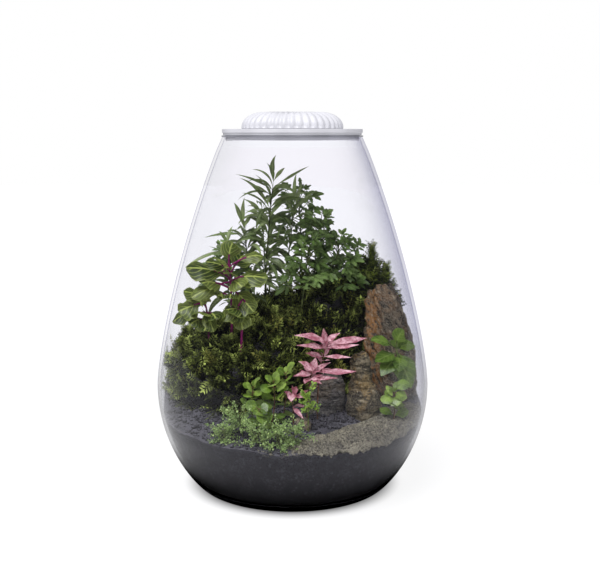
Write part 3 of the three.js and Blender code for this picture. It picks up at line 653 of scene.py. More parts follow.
def stem_skin(name, base, shade):
    """The skin of a young stem: satin, with lengthwise streaks and darker joints."""
    material, shader, add = new_material(name, Roughness=0.5, IOR=1.4)
    where = add("TexCoord").outputs["Object"]
    streak = add("MapRange", grain(add, where, 1.5, 3, (1, 1, 0.2)), 0.35, 0.65, **SMOOTH)
    joint = add("MapRange", grain(add, where, 9, 1), 0.5, 0.66, 0.0, 0.7, **SMOOTH)
    body = add("Mix", streak, base, shade, **COLOURS)
    feed(shader.inputs["Base Color"], add("Mix", joint, body, [c * 0.5 for c in shade], **COLOURS))
    raise_surface(add, shader, streak, 0.3, 0.2)
    return material


# ---------------------------------------------------------------- the glass and the lid


class TERRARIUM_OT_glass(bpy.types.Operator):
    """Blow the vessel: an even wall, a flat foot and a rounded, fire-polished rim"""

    bl_idname = "terrarium.glass"
    bl_label = "Glass vessel"

    def execute(self, context):
        vessel = Vessel(context.scene.terrarium_vessel)
        round_rim = vessel.wall / 2
        lip = arc((vessel.rim - round_rim, vessel.height - round_rim), round_rim, 0, 180, 9)
        outside = [tuple(p) for p in vessel.outside[:-1]]
        inside = [tuple(p) for p in vessel.inside[-2::-1]]
        profile = [(0, 0), (60, 0), *outside, *lip, *inside]
        piece = revolve("glass_wall", profile, 160)
        select_only(piece)
        bpy.ops.object.shade_smooth()
        place(piece, "glass_vessel", "clear_glass", blown_glass())
        return {"FINISHED"}


class TERRARIUM_OT_lid(bpy.types.Operator):
    """Make the lid: the silicone seal, the plate, its light board, the diffuser, the dome and the socket"""

    bl_idname = "terrarium.lid"
    bl_label = "Lamp lid"

    def execute(self, context):
        lid, vessel = context.scene.terrarium_lid, context.scene.terrarium_vessel
        gap = 0.3
        rim, outside, mouth = vessel.height / MM, vessel.rim / MM, (vessel.rim - vessel.wall) / MM
        seal_low = rim + gap
        seal_top = seal_low + lid.seal / MM
        plate_low = seal_top + gap
        white = moulded_plastic("abs_white", "#d0d0d6", "#c8c8ce", 0.42, 0.7, 0.15)

        grey = moulded_plastic("silicone_rubber", "#83848d", "#75767e", 0.6, 1.2, 0.2)
        ring = [(mouth + gap, seal_low), (outside, seal_low), (outside, seal_top), (mouth + gap, seal_top)]
        self.turned("seal", [*ring, ring[0]], 0.3, 2, "seal_ring", "grey_silicone", grey)

        # The plate's plug reaches into the mouth, and the light sits in a stepped recess under it.
        radius, top, lip = lid.plate_radius / MM, lid.plate_top / MM, rim - 3.5
        profile = [
            (0, lip + 5.3), (40.3, lip + 5.3), (40.3, lip + 3.3), (43.3, lip + 3.3), (43.3, lip),
            (mouth - 1, lip), (mouth - 1, plate_low), (radius - 1, plate_low), (radius - 1, plate_low + 2),
            (radius, plate_low + 2.3), (radius, top), (0, top),
        ]
        self.turned("plate", profile, 0.5, 3, "lid_plate", "white_plastic", white)

        cover = [(0, lip + 1), (43, lip + 1), (43, lip + 3), (0, lip + 3)]
        frosted = moulded_plastic("frosted_polycarbonate", "#f4f4f0", "#e9e9e6", 0.75, 0.5, 0.3)
        self.turned("diffuser", cover, 0.4, 2, "lamp_diffuser", "frosted_plastic", frosted)

        self.light_board(lip + 3.6)
        self.dome(lid, top + gap, white)
        return {"FINISHED"}

    def turned(self, name, profile, rounding, segments, *finish):
        """A turned part with its edges rounded, in its finish."""
        piece = revolve(name, profile)
        apply_modifier(piece, "BEVEL", width=rounding * MM, segments=segments, limit_method="ANGLE")
        place(piece, *finish)

    def light_board(self, low):
        """The board, with one light-emitting diode in the middle of its underside and two rings of them."""
        board = revolve("light_board", [(0, low), (40, low), (40, low + 1.4), (0, low + 1.4)])
        place(board, "led_board", "led_board", circuit_board())
        side, thick = 3 * MM, 0.5 * MM
        deselect_all()
        centre = (0, 0, low * MM - thick / 2)
        bpy.ops.mesh.primitive_cube_add(size=1, location=centre, scale=(side, side, thick))
        diodes = [name_piece("light_diode_centre")]
        apply_modifier(diodes[0], "BEVEL", width=0.15 * MM, segments=2)
        for distance, count, first in ((14, 6, 0), (30, 12, 15)):
            for k in range(count):
                turn = math.radians(first + 360 * k / count)
                diode = diodes[0].copy()
                diode.data = diode.data.copy()
                diode.name = diode.data.name = f"light_diode_{distance}_{k}"
                bpy.context.scene.collection.objects.link(diode)
                for vertex in diode.data.vertices:
                    vertex.co.x += distance * MM * math.cos(turn)
                    vertex.co.y += distance * MM * math.sin(turn)
                diodes.append(diode)
        phosphor = moulded_plastic("diode_phosphor", "#f1dd7c", "#e8cf63", 0.4, 0.8, 0.2)
        for diode in diodes:
            place(diode, None, "led_board", phosphor)

    def dome(self, lid, low, white):
        """The lamp's cap, with grooves that leave the cooling fins, and a bore with the socket in it."""
        radius, height = lid.dome_radius / MM, lid.dome_height / MM
        shoulder, skirt, flat_radius, fade_length = 21, 1.5, 22, 9
        neck = radius - shoulder
        turns = np.radians(np.linspace(0, 90, 18))
        curve = [(neck + shoulder * math.cos(a), low + skirt + (height - skirt) * math.sin(a)) for a in turns]
        flat = [(r, low + height) for r in (28, 25.5, 23, 20, 12, 0)]
        profile = [(0, low), (radius - 0.4, low), (radius, low + 0.4), *curve, *flat]
        piece = revolve("finned_dome", profile, lid.fins * 8)
        for vertex in piece.data.vertices:
            x, y, z = vertex.co / MM
            away = math.hypot(x, y)
            if away > 1:
                fade = smoothstep((away - flat_radius) / fade_length) * smoothstep((z - low) / height * 8)
                groove = (0.5 - 0.5 * math.cos(math.atan2(y, x) * lid.fins)) ** 1.4
                cut = lid.fin_depth / MM * groove * fade
                slope = smoothstep((away - neck) / shoulder)
                vertex.co.x -= cut * slope * x / away * MM
                vertex.co.y -= cut * slope * y / away * MM
                vertex.co.z -= cut * (1 - slope) * MM

        bore, plug, bore_bottom, proud = 4.5, 4.2, radius - 9.3, 1
        self.peg(bore, bore_bottom, bore_bottom + 14.3, low + 7)
        cutter = name_piece("socket_cutter")
        apply_modifier(piece, "BOOLEAN", object=cutter, operation="DIFFERENCE", solver="EXACT")
        bpy.data.objects.remove(cutter)
        select_only(piece)
        bpy.ops.object.shade_smooth_by_angle(angle=math.radians(40))
        place(piece, "lamp_dome", "white_plastic", white)

        self.peg(plug, radius + proud - 10, radius + proud, low + 7)
        socket = name_piece("lamp_socket")
        bpy.ops.object.mode_set(mode="EDIT")
        bpy.ops.mesh.select_all(action="DESELECT")
        bpy.ops.object.mode_set(mode="OBJECT")
        for face in socket.data.polygons:
            face.select = face.normal.y > 0.9
        bpy.ops.object.mode_set(mode="EDIT")
        for inset, push in ((1.4, -5.5), (1.9, 4.5)):
            bpy.ops.mesh.inset(thickness=inset * MM)
            bpy.ops.mesh.extrude_region_move(TRANSFORM_OT_translate={"value": (0, push * MM, 0)})
        bpy.ops.object.mode_set(mode="OBJECT")
        apply_modifier(socket, "BEVEL", width=0.25 * MM, segments=2, limit_method="ANGLE")
        black = moulded_plastic("glass_filled_nylon", "#1d1d1f", "#29292c", 0.45, 0.9, 0.3)
        place(socket, "power_inlet", "black_plastic", black)

    def peg(self, radius, front, back, height):
        """Adds a cylinder that lies along Y."""
        deselect_all()
        bpy.ops.mesh.primitive_cylinder_add(
            vertices=40, radius=radius * MM, depth=(back - front) * MM, rotation=(math.pi / 2, 0, 0),
            location=(0, (front + back) / 2 * MM, height * MM),
        )


# ---------------------------------------------------------------- the ground


def cube_grain(seed, round_off=True):
    """A small angular grain, modelled once and copied: a cube knocked about, first rounded if a crumb."""
    deselect_all()
    bpy.ops.mesh.primitive_cube_add(size=1)
    bpy.ops.object.mode_set(mode="EDIT")
    if round_off:
        bpy.ops.mesh.subdivide(number_cuts=1)
        bpy.ops.transform.tosphere(value=0.55)
    bpy.ops.transform.vertex_random(offset=0.16, seed=seed)
    bpy.ops.object.mode_set(mode="OBJECT")
    block = bpy.context.object
    points = np.array([v.co for v in block.data.vertices], float)
    faces = np.array([p.vertices[:] for p in block.data.polygons])
    bpy.data.meshes.remove(block.data)
    return points, faces, np.full((len(points), 2), 0.5)


def tumble(rng, sizes):
    """Three axes for each grain, turned at random and as long as its size."""
    turned = np.linalg.qr(rng.normal(size=(len(sizes), 3, 3)))[0]
    turned[np.linalg.det(turned) < 0, 0] *= -1
    return turned * sizes[:, None, None] * rng.uniform(0.75, 1.25, (len(sizes), 3, 1))


def strew(batch, template, height, places, sizes, rng, slot=0):
    """Scatters grains over a ground surface, half sunk in."""
    x, y = places
    origins = np.column_stack([x, y, height(x, y) + sizes * rng.uniform(0.0, 0.35, len(x))])
    batch.copies(template, origins, tumble(rng, sizes), rng.uniform(0, 1, len(x)), slot)


class TERRARIUM_OT_soil(bpy.types.Operator):
    """Fill the vessel with soil, pressed against the glass, with loose crumbs on top"""

    bl_idname = "terrarium.soil"
    bl_label = "Soil"

    def execute(self, context):
        vessel = Vessel(context.scene.terrarium_vessel)
        material = potting_soil(context.scene.terrarium_ground)
        gap, sides, rings, levels, floor_height, centre = 0.3, 240, 90, 35, 5.4, 0.0005
        turns = np.linspace(0, 2 * np.pi, sides, endpoint=False)

        def surface(x, y):
            return soil_height(x, y) + 0.7 * crumble(x, y, 5) + 0.35 * crumble(y, x, 2)

        edge = ground_rim(vessel, surface, turns, gap)
        radius = np.linspace(centre, 1, rings)[:, None] * edge
        x, y = radius * np.cos(turns), radius * np.sin(turns)
        top = np.stack([x, y, surface(x, y)], -1)
        level = mix(top[-1, :, 2], floor_height, np.linspace(0, 1, levels + 1)[1:, None] ** 0.8)
        out = vessel.room(level, gap)
        side = np.stack([out * np.cos(turns), out * np.sin(turns), level], -1)
        floor = side[-1] * np.array([centre, centre, 1])
        batch = MeshBatch()
        batch.grid(np.concatenate([top, side, floor[None]])[::-1], wrap=True)
        place(batch.build("soil_fill", weld=True), "soil", "soil", material)

        rng = np.random.default_rng(11)
        count = 4200
        away = 132 * np.sqrt(rng.uniform(0, 1, count))
        bearing = rng.uniform(0, 2 * np.pi, count)
        x, y = away * np.cos(bearing), away * np.sin(bearing)
        bare = (sand_reach(x, y) > 0.95) & (away < ground_rim(vessel, surface, bearing, 1.5))
        x, y = x[bare], y[bare]
        crumbs = MeshBatch()
        sizes = rng.uniform(0.9, 2.6, len(x)) * rng.choice([1, 1, 1, 1.6], len(x))
        strew(crumbs, cube_grain(3), surface, (x, y), sizes, rng)
        place(crumbs.build("soil_crumbs", vessel.hold(0.5)), None, "soil", material)
        return {"FINISHED"}


class TERRARIUM_OT_sand(bpy.types.Operator):
    """Lay the curved bed of sand along the glass, with loose grains on it"""

    bl_idname = "terrarium.sand"
    bl_label = "Sand bed"

    def execute(self, context):
        vessel = Vessel(context.scene.terrarium_vessel)
        material = quartz_sand(context.scene.terrarium_ground)
        gap, inner_radius = 0.2, 76
        turns = np.radians(np.linspace(-104, 8, 260))

        def surface(x, y):
            return sand_height(x, y) + 0.8 * crumble(y, x, 10)

        def under(x, y):
            """The soil under the sand. Beside the glass the border between the two is ragged."""
            ragged = 2.4 * crumble(x, y + 40, 3.2) + 2.4 * crumble(x + y, x - y, 11)
            return soil_height(x, y) + 0.5 + ragged * smoothstep((np.hypot(x, y) - 124) / 6)

        def crest(x, y):
            return np.maximum(surface(x, y), under(x, y) - 0.4)

        edge = ground_rim(vessel, crest, turns, gap)
        radius = mix(inner_radius, edge, np.linspace(0, 1, 60)[:, None])
        x, y = radius * np.cos(turns), radius * np.sin(turns)
        covered = np.maximum(surface(x, y) - under(x, y), 0)
        low = under(x, y) - np.where(covered > 0, 0.0, 1.2)
        top = np.stack([x, y, low + covered], -1)
        bottom = np.stack([x, y, low], -1)
        out = vessel.room(bottom[-1, :, 2], gap)
        bottom[-1, :, 0], bottom[-1, :, 1] = out * np.cos(turns), out * np.sin(turns)
        batch = MeshBatch()
        batch.grid(top)
        batch.grid(bottom[::-1])
        batch.grid(np.stack([bottom[-1], top[-1]])[::-1])
        place(batch.build("sand_fill", vessel.hold(gap), weld=True), "sand", "sand", material)

        rng = np.random.default_rng(23)
        count = 19000
        bearing = np.radians(rng.uniform(-100, 4, count))
        away = rng.uniform(82, 137, count)
        x, y = away * np.cos(bearing), away * np.sin(bearing)
        laid = (sand_reach(x, y) + rng.normal(0, 0.07, count) < 1.0) & (surface(x, y) > under(x, y) - 1.6)
        x, y = x[laid], y[laid]
        sizes = rng.uniform(0.8, 2.0, len(x))
        grains = MeshBatch()
        strew(grains, cube_grain(7, round_off=False), surface, (x, y), sizes, rng)
        place(grains.build("sand_grains", vessel.hold(0.4)), None, "sand", material)
        return {"FINISHED"}


# ---------------------------------------------------------------- the stones

# Each stone: its centre, half sizes and lean, how square and tapered it is, what weathers it, and spurs,
# each with a place, a size and how far it stands out.
STONES = {
    "stone_tall": {
        "at": (105, 8, 134), "radii": (27, 18, 74), "lean": (-5, -9, 18),
        "knobs": 4.2, "rough": 0.08, "seed": 1.7, "square": 3, "taper": 0.26, "slant": 0.7,
        "grooves": 3.2, "strata": 0.0, "chips": 2.6, "cuts": 16,
        "spurs": [
            ((112, -4, 194), 7, 15), ((104, -2, 207), 6, -5), ((116, -4, 184), 6, 8),
            ((111, -4, 204), 4, -4), ((78, -6, 172), 8, -3), ((86, 0, 210), 8, 4), ((78, -4, 196), 6, -3),
        ],
    },
    "stone_stack": {
        "at": (72, -40, 105), "radii": (14.5, 14.5, 43), "lean": (3, -4, 30),
        "knobs": 5.1, "rough": 0.09, "seed": 2.9, "square": 3.6, "taper": 0.24, "flat": 0.86,
        "grooves": 1.1, "strata": 0.45, "chips": 2.8, "cuts": 20,
        "spurs": [
            ((60, -46, 140), 8, 4), ((80, -48, 140), 8, 4), ((86, -44, 122), 12, -6),
            ((60, -44, 122), 12, -3), ((58, -46, 92), 14, 5), ((84, -50, 84), 12, 3),
        ],
    },
    "stone_slab": {
        "at": (34, -26, 92), "radii": (22, 16, 32), "lean": (10, 8, 8),
        "knobs": 3.7, "rough": 0.07, "seed": 4.4, "square": 3, "taper": 0.2, "flat": 0.9,
        "grooves": 0.5, "strata": 0.7, "chips": 1.5, "cuts": 12,
    },
    "stone_pebble": {
        "at": (10, -76, 81), "radii": (9, 8, 8), "lean": (0, 0, 0),
        "knobs": 3, "rough": 0.06, "seed": 5.2, "square": 2.4, "taper": 0,
        "grooves": 0.2, "strata": 0.3, "chips": 0.6,
    },
}


def lump_points(ways, at, radii, knobs, rough, seed, lean=(0, 0, 0), square=2, taper=0, **_):
    """Where a bumpy lump's surface lies in each of the given directions."""
    radii = np.asarray(radii, float)
    blunt = (np.abs(ways) ** square).sum(1) ** (-1 / square)
    x, y, z = ways.T
    wave = np.sin(x * knobs + seed) * np.sin(y * knobs * 1.1 + seed * 2)
    wave += np.sin(z * knobs * 1.3 + seed * 3) * np.cos(x * knobs * 0.8)
    out = ways * radii * (blunt * (1 + rough * wave))[:, None]
    out[:, :2] *= (1 - taper * out[:, 2] / radii[2])[:, None]
    turn = np.array(Euler([math.radians(a) for a in lean], "XYZ").to_matrix())
    return out @ turn.T + np.asarray(at, float)


def chisel(points, at, radii, cuts=0, seed=0, flat=1.0, **_):
    """Cuts flat facets on a lump, as broken rock has. flat is the share of its height under a flat top."""
    rng = np.random.default_rng(int(seed * 10))
    shares = (points - np.asarray(at, float)) / np.asarray(radii, float)
    for _facet in range(cuts):
        way = unit(rng.normal(size=3) * (1, 1, 0.55))
        reach = shares @ way
        shares -= np.maximum(reach - reach.max() * rng.uniform(0.76, 0.92), 0)[:, None] * way
    if flat < 1:
        shares[:, 2] = np.minimum(shares[:, 2], (flat + 0.1 * shares[:, 0]) * shares[:, 2].max())
    return shares * radii + at


def weather(point, spec):
    """How far a stone stands out at a place: upright grooves, level layers, chipped facets and grit."""
    seed = spec["seed"]
    p = Vector(point)
    lean = spec.get("slant", 0.0)
    grooved = Vector(((p.x + lean * p.z) / 7, p.y / 7, (p.z - lean * p.x) / 34 + seed))
    grooves = noise.noise(grooved) + 0.5 * noise.noise(grooved * 2.3)
    warp = noise.noise(p / 13)
    strata = noise.noise(Vector((seed, p.x / 60, (p.z + 0.2 * p.x) / 3.4 + 1.3 * warp)))
    cells = noise.voronoi(p / 11 + Vector((seed, 0, 0)))[0]
    grit = noise.fractal(p / 3.2, 0.9, 2.1, 4)
    places = spec.get("spurs", ())
    spurs = sum(push * math.exp(-((p - Vector(at)).length / size) ** 2) for at, size, push in places)
    return (
        spurs
        + spec["grooves"] * grooves
        + spec["strata"] * 1.6 * math.copysign(abs(strata) ** 0.6, strata)
        + spec["chips"] * (cells[1] - cells[0] - 0.35)
        + 0.45 * grit
    )


class TERRARIUM_OT_stones(bpy.types.Operator):
    """Shape the four stones: the rusty wedge, the layered stack, the dark slab and the pebble"""

    bl_idname = "terrarium.stones"
    bl_label = "Stones"

    def execute(self, context):
        rust = ("#544838", "#0a0704", "#7f5320", "#9c917b")
        clay = ("#655c49", "#221d15", "#7a643c", "#a0957a")
        shale = ("#625f5c", "#242324", "#6d6456", "#98948e")
        gravel = ("#5d564a", "#25221d", "#7a6c50", "#9b927e")
        iron = stone("ironstone", rust, 10, (1, 1, 0.4), 0.8, stained_side=92, slant=35)
        tan = stone("sandstone", clay, 12, (0.8, 0.8, 1.5), 0.9, layers=4)
        slate = stone("slate", shale, 9, (0.7, 0.7, 1.8), 0.75, layers=5)
        gritty = stone("gritstone", gravel, 4, (1, 1, 1), 0.85)
        finishes = {
            "stone_tall": ("rust_stone", iron),
            "stone_stack": ("tan_stone", tan),
            "stone_slab": ("slate_stone", slate),
            "stone_pebble": ("tan_stone", gritty),
        }
        clear = Vessel(context.scene.terrarium_vessel).hold(0.6)
        for node, spec in STONES.items():
            segments, rings = (48, 32) if node == "stone_pebble" else (128, 110)
            deselect_all()
            bpy.ops.mesh.primitive_uv_sphere_add(segments=segments, ring_count=rings, radius=1)
            piece = name_piece(node.replace("stone_", "") + "_stone")
            ways = np.array([v.co.normalized() for v in piece.data.vertices])
            points = chisel(lump_points(ways, **spec), **spec)
            centre = np.asarray(spec["at"], float)
            outwards = unit((points - centre) / np.asarray(spec["radii"], float))
            pushed = np.array([weather(p, spec) for p in points])
            points += outwards * (pushed - pushed.mean() - 0.3)[:, None]
            piece.data.vertices.foreach_set("co", (clear(points) * MM).ravel())
            piece.data.update()
            select_only(piece)
            bpy.ops.object.shade_smooth_by_angle(angle=math.radians(50))
            place(piece, node, *finishes[node])
        return {"FINISHED"}


# ---------------------------------------------------------------- the moss

# How far right the moss shoots grow. The tall stone stands beyond.
MOSS_RIGHT = 103

# Each moss cushion is some lumps that grow into each other.
MOSSES = {
    "moss_left": [
        {"at": (-74, 6, 106), "radii": (56, 46, 50), "knobs": 5, "rough": 0.09, "seed": 0.6},
        {"at": (-26, 22, 116), "radii": (46, 46, 60), "knobs": 5, "rough": 0.09, "seed": 1.9},
        {"at": (-92, 44, 108), "radii": (44, 44, 46), "knobs": 4, "rough": 0.09, "seed": 2.2},
    ],
    "moss_back": [
        {"at": (34, 44, 140), "radii": (48, 38, 66), "knobs": 5, "rough": 0.09, "seed": 3.1},
        {"at": (75, 48, 166), "radii": (27, 30, 50), "knobs": 5, "rough": 0.09, "seed": 4.7},
        {"at": (-12, 84, 130), "radii": (60, 40, 48), "knobs": 4, "rough": 0.09, "seed": 5.5},
    ],
}


def shoot_template(pairs, spread, thin, broad=1.0):
    """A feathery moss shoot one unit long: a thin axis and pairs of pointed leaflets. Its y runs along it."""
    points, faces, uvs = [], [], []

    def quad(corners):
        faces.append(list(range(len(points), len(points) + 4)))
        points.extend(corners)
        uvs.extend((0.5, min(max(c[1], 0), 1)) for c in corners)

    def height(y):
        """How far the axis has bent down at y."""
        return -0.22 * y * y

    for low, high in ((0, 0.4), (0.4, 0.8)):
        z, top = height(low), height(high)
        quad([(-thin, low, z), (thin, low, z), (thin, high, top), (-thin, high, top)])
    for k in range(pairs):
        y = 0.16 + 0.72 * k / (pairs - 1)
        size = spread * (1 - 0.6 * abs(k / (pairs - 1) - 0.35))
        for sign in (-1, 1):
            tip = (sign * size, y + size * 0.75, height(y) + 0.35 * size * (1 if k % 2 else -0.2))
            lower = (sign * size * 0.6, y + size * (0.41 - 0.29 * broad), height(y) + 0.04)
            upper = (sign * size * 0.35, y + size * (0.41 + 0.29 * broad), height(y) + 0.04)
            root = (0, y, height(y))
            quad([root, lower, tip, upper] if sign > 0 else [root, upper, tip, lower])
    end = 2.6 * thin
    quad([(x, y, height(y)) for x, y in ((0, 0.84), (end, 0.93), (0, 1.04), (-end, 0.93))])
    return np.array(points, float), np.array(faces), np.array(uvs, float)


def shoot_axes(directions, normals, lengths, widths, rng):
    """The across, along and upward axes of shoots that point along directions, rolled a little at random."""
    along = unit(directions)
    across = unit(np.cross(along, normals + rng.normal(0, 0.25, along.shape)))
    above = np.cross(across, along)
    return np.stack([across * widths[:, None], along * lengths[:, None], above * lengths[:, None]], 1)


def inside_lump(points, spec, share=0.97):
    """True where points lie inside a lump, taken as a plain ellipsoid."""
    apart = (points - np.asarray(spec["at"])) / (np.asarray(spec["radii"], float) * share)
    return (apart**2).sum(1) < 1


def clump(points, size):
    """A soft pattern between 0 and 1 that groups neighbours size millimetres apart."""
    x, y, z = (points / size).T
    wave = np.sin(x * 2.3 + 1.5 * np.sin(z * 1.9)) * np.sin(y * 2.1 + 1.2 * np.sin(x * 1.7))
    return 0.5 + 0.5 * wave * np.sin(z * 2.7 + y)


class TERRARIUM_OT_moss(bpy.types.Operator):
    """Grow the two moss cushions: a dark core under thousands of feathery shoots"""

    bl_idname = "terrarium.moss"
    bl_label = "Moss cushions"

    def execute(self, context):
        look = context.scene.terrarium_plants
        vessel = Vessel(context.scene.terrarium_vessel)
        green = shoot_moss("sheet_moss", look.moss_deep, look.moss_tip, linear("#8d8a45"))
        litter = potting_soil(context.scene.terrarium_ground, "moss_litter")
        # A shoot's shape, how many there are, their lengths in millimetres and how bright they are. The short
        # shoots under the fronds are dimmed as painted shade.
        layers = (
            (shoot_template(4, 0.27, 0.025), 1.1, (11, 19), 0.35),
            (shoot_template(8, 0.26, 0.016, 0.5), 0.55, (14, 27), 1.5),
            (shoot_template(16, 0.1, 0.007, 0.35), 0.03, (22, 32), 1.1),
        )
        for node, lumps in MOSSES.items():
            self.core(node, lumps, vessel, litter)
            # Painted shade: the back cushion is dimmed, as the plants above shade it.
            cushion_painted_light = 1 if node == "moss_left" else 0.62
            batch = self.shoots(lumps, look.moss_shoots, layers, vessel, cushion_painted_light)
            place(batch.build(node + "_shoots", vessel.hold(0.8)), None, "moss", green)
        return {"FINISHED"}

    def core(self, node, lumps, vessel, litter):
        """The dark litter inside a cushion, a little smaller than its lumps and never under the soil."""
        rows, cols = 24, 36
        polar, turned = np.meshgrid(
            np.linspace(0.01, np.pi - 0.01, rows),
            np.linspace(0, 2 * np.pi, cols, endpoint=False),
            indexing="ij",
        )
        ways = np.stack([np.sin(polar) * np.cos(turned), np.sin(polar) * np.sin(turned), np.cos(polar)], -1)
        batch = MeshBatch()
        for spec in lumps:
            centre = np.asarray(spec["at"])
            points = centre + (lump_points(ways.reshape(-1, 3), **spec) - centre) * 0.9
            points[:, 2] = np.maximum(points[:, 2], soil_height(points[:, 0], points[:, 1]) - 1.5)
            batch.grid(points.reshape(rows, cols, 3)[::-1], 0.2, wrap=True)
        place(batch.build(node + "_core", vessel.hold(3)), node, "moss", litter)

    def shoots(self, lumps, count, layers, vessel, cushion_painted_light):
        """Fine shoots all over the lumps with larger fronds over them, longer and paler in clumps."""
        rng = np.random.default_rng(9)
        batch = MeshBatch()
        areas = np.array([np.prod(spec["radii"]) ** (2 / 3) for spec in lumps])
        for (template, density, reach, layer_painted_light), (index, spec) in product(layers, enumerate(lumps)):
            ways = unit(rng.normal(size=(int(count * density * areas[index] / areas.sum()), 3)))
            points = lump_points(ways, **spec)
            free = points[:, 2] > soil_height(points[:, 0], points[:, 1]) - 3
            for other in lumps:
                free &= (other is spec) | ~inside_lump(points, other, 0.9)
            free &= np.hypot(points[:, 0], points[:, 1]) < vessel.room(points[:, 2], -16)
            free &= points[:, 0] < MOSS_RIGHT
            points, ways = points[free], ways[free]
            normals = unit(ways / np.asarray(spec["radii"], float))
            grouped = clump(points, 18)
            lengths = rng.uniform(*reach, len(points)) * mix(0.65, 1.3, grouped)
            roots = points - normals * (2 + 13 * (1 - grouped) + 0.25 * (reach[1] - 19))[:, None]
            aim = normals + np.array([0, 0, 0.4]) + rng.normal(0, 0.5, points.shape)
            axes = shoot_axes(aim, normals, lengths, lengths * rng.uniform(0.9, 1.2, len(points)), rng)
            tones = (rng.uniform(0, 1, len(points)) ** 1.4 * 0.8 + 0.35 * grouped) * cushion_painted_light * layer_painted_light
            dry = rng.uniform(0, 1, len(points)) > 0.975
            batch.copies(template, roots, axes, np.where(dry, 1, np.clip(tones, 0, 0.88)))
        return batch


# ---------------------------------------------------------------- leaves and stems

# Half the width of a blade at shares of its length. A stalk is the thin part at the start.
OUTLINES = {
    "lance": [
        (0, 0.04), (0.06, 0.09), (0.16, 0.35), (0.34, 0.92), (0.46, 1), (0.62, 0.84), (0.8, 0.46),
        (0.93, 0.16), (1, 0.02),
    ],
    "broad": [
        (0, 0.04), (0.16, 0.05), (0.22, 0.3), (0.3, 0.68), (0.42, 0.97), (0.52, 1), (0.7, 0.84),
        (0.86, 0.5), (0.95, 0.2), (1, 0.02),
    ],
    "round": [
        (0, 0.06), (0.2, 0.09), (0.27, 0.4), (0.38, 0.8), (0.55, 1), (0.74, 0.96), (0.88, 0.7), (0.96, 0.4),
        (1, 0.04),
    ],
    "notched": [
        (0, 0.04), (0.28, 0.05), (0.34, 0.4), (0.43, 0.78), (0.57, 0.98), (0.72, 1), (0.86, 0.9),
        (0.95, 0.68), (1, 0.25),
    ],
    "toothed": [
        (0, 0.05), (0.1, 0.1), (0.2, 0.5), (0.3, 0.82), (0.36, 0.55), (0.5, 1), (0.57, 0.62), (0.7, 0.86),
        (0.77, 0.5), (0.88, 0.5), (1, 0.03),
    ],
}

# Each leaf's finish: its slot, its material, the colours of its blade, shade and veins, and its veins' run.
LEAVES = {
    "willow": (
        "willow_leaf", "narrow_waxy_leaf", ("#647f3c", "#1e3210", "#cdd8a0"),
        {"ribs": 14, "curve": 1.6, "width": 0.12, "veins": 0.3, "gloss": 0.34},
    ),
    "aralia": (
        "aralia_leaf", "lobed_glossy_leaf", ("#688c3a", "#122a0b", "#b4c986"),
        {"ribs": 5, "curve": 1.6, "veins": 0.3, "gloss": 0.3, "margin": 0.2},
    ),
    "veined": (
        "veined_leaf", "yellow_veined_leaf", ("#2d4410", "#122005", "#aebb60"),
        {"ribs": 5, "curve": 3.0, "width": 0.085, "veins": 0.55, "gloss": 0.4, "margin": 0.4, "bow": 1.7},
    ),
    "pink": (
        "pink_leaf", "pink_leaf_skin", ("#fbd6dc", "#8a3c4c", "#bd5d78"),
        {"ribs": 8, "curve": 2.0, "veins": 0.3, "gloss": 0.45, "margin": 0.6, "blotch": 0.7},
    ),
    "fresh": (
        "fresh_leaf", "bright_soft_leaf", ("#7b9a36", "#304a10", "#bccf7e"),
        {"ribs": 6, "curve": 1.6, "width": 0.09, "veins": 0.16, "gloss": 0.28},
    ),
    "tiny": (
        "lime_leaf", "tiny_creeper_leaf", ("#a6c46c", "#4a6a2e", "#d4e2a8"),
        {"ribs": 3, "curve": 1, "veins": 0.2},
    ),
    "lime": (
        "lime_leaf", "lime_sprout_leaf", ("#9bbb3f", "#58802a", "#c8dc7a"),
        {"ribs": 3, "curve": 1, "veins": 0.2, "gloss": 0.4},
    ),
}

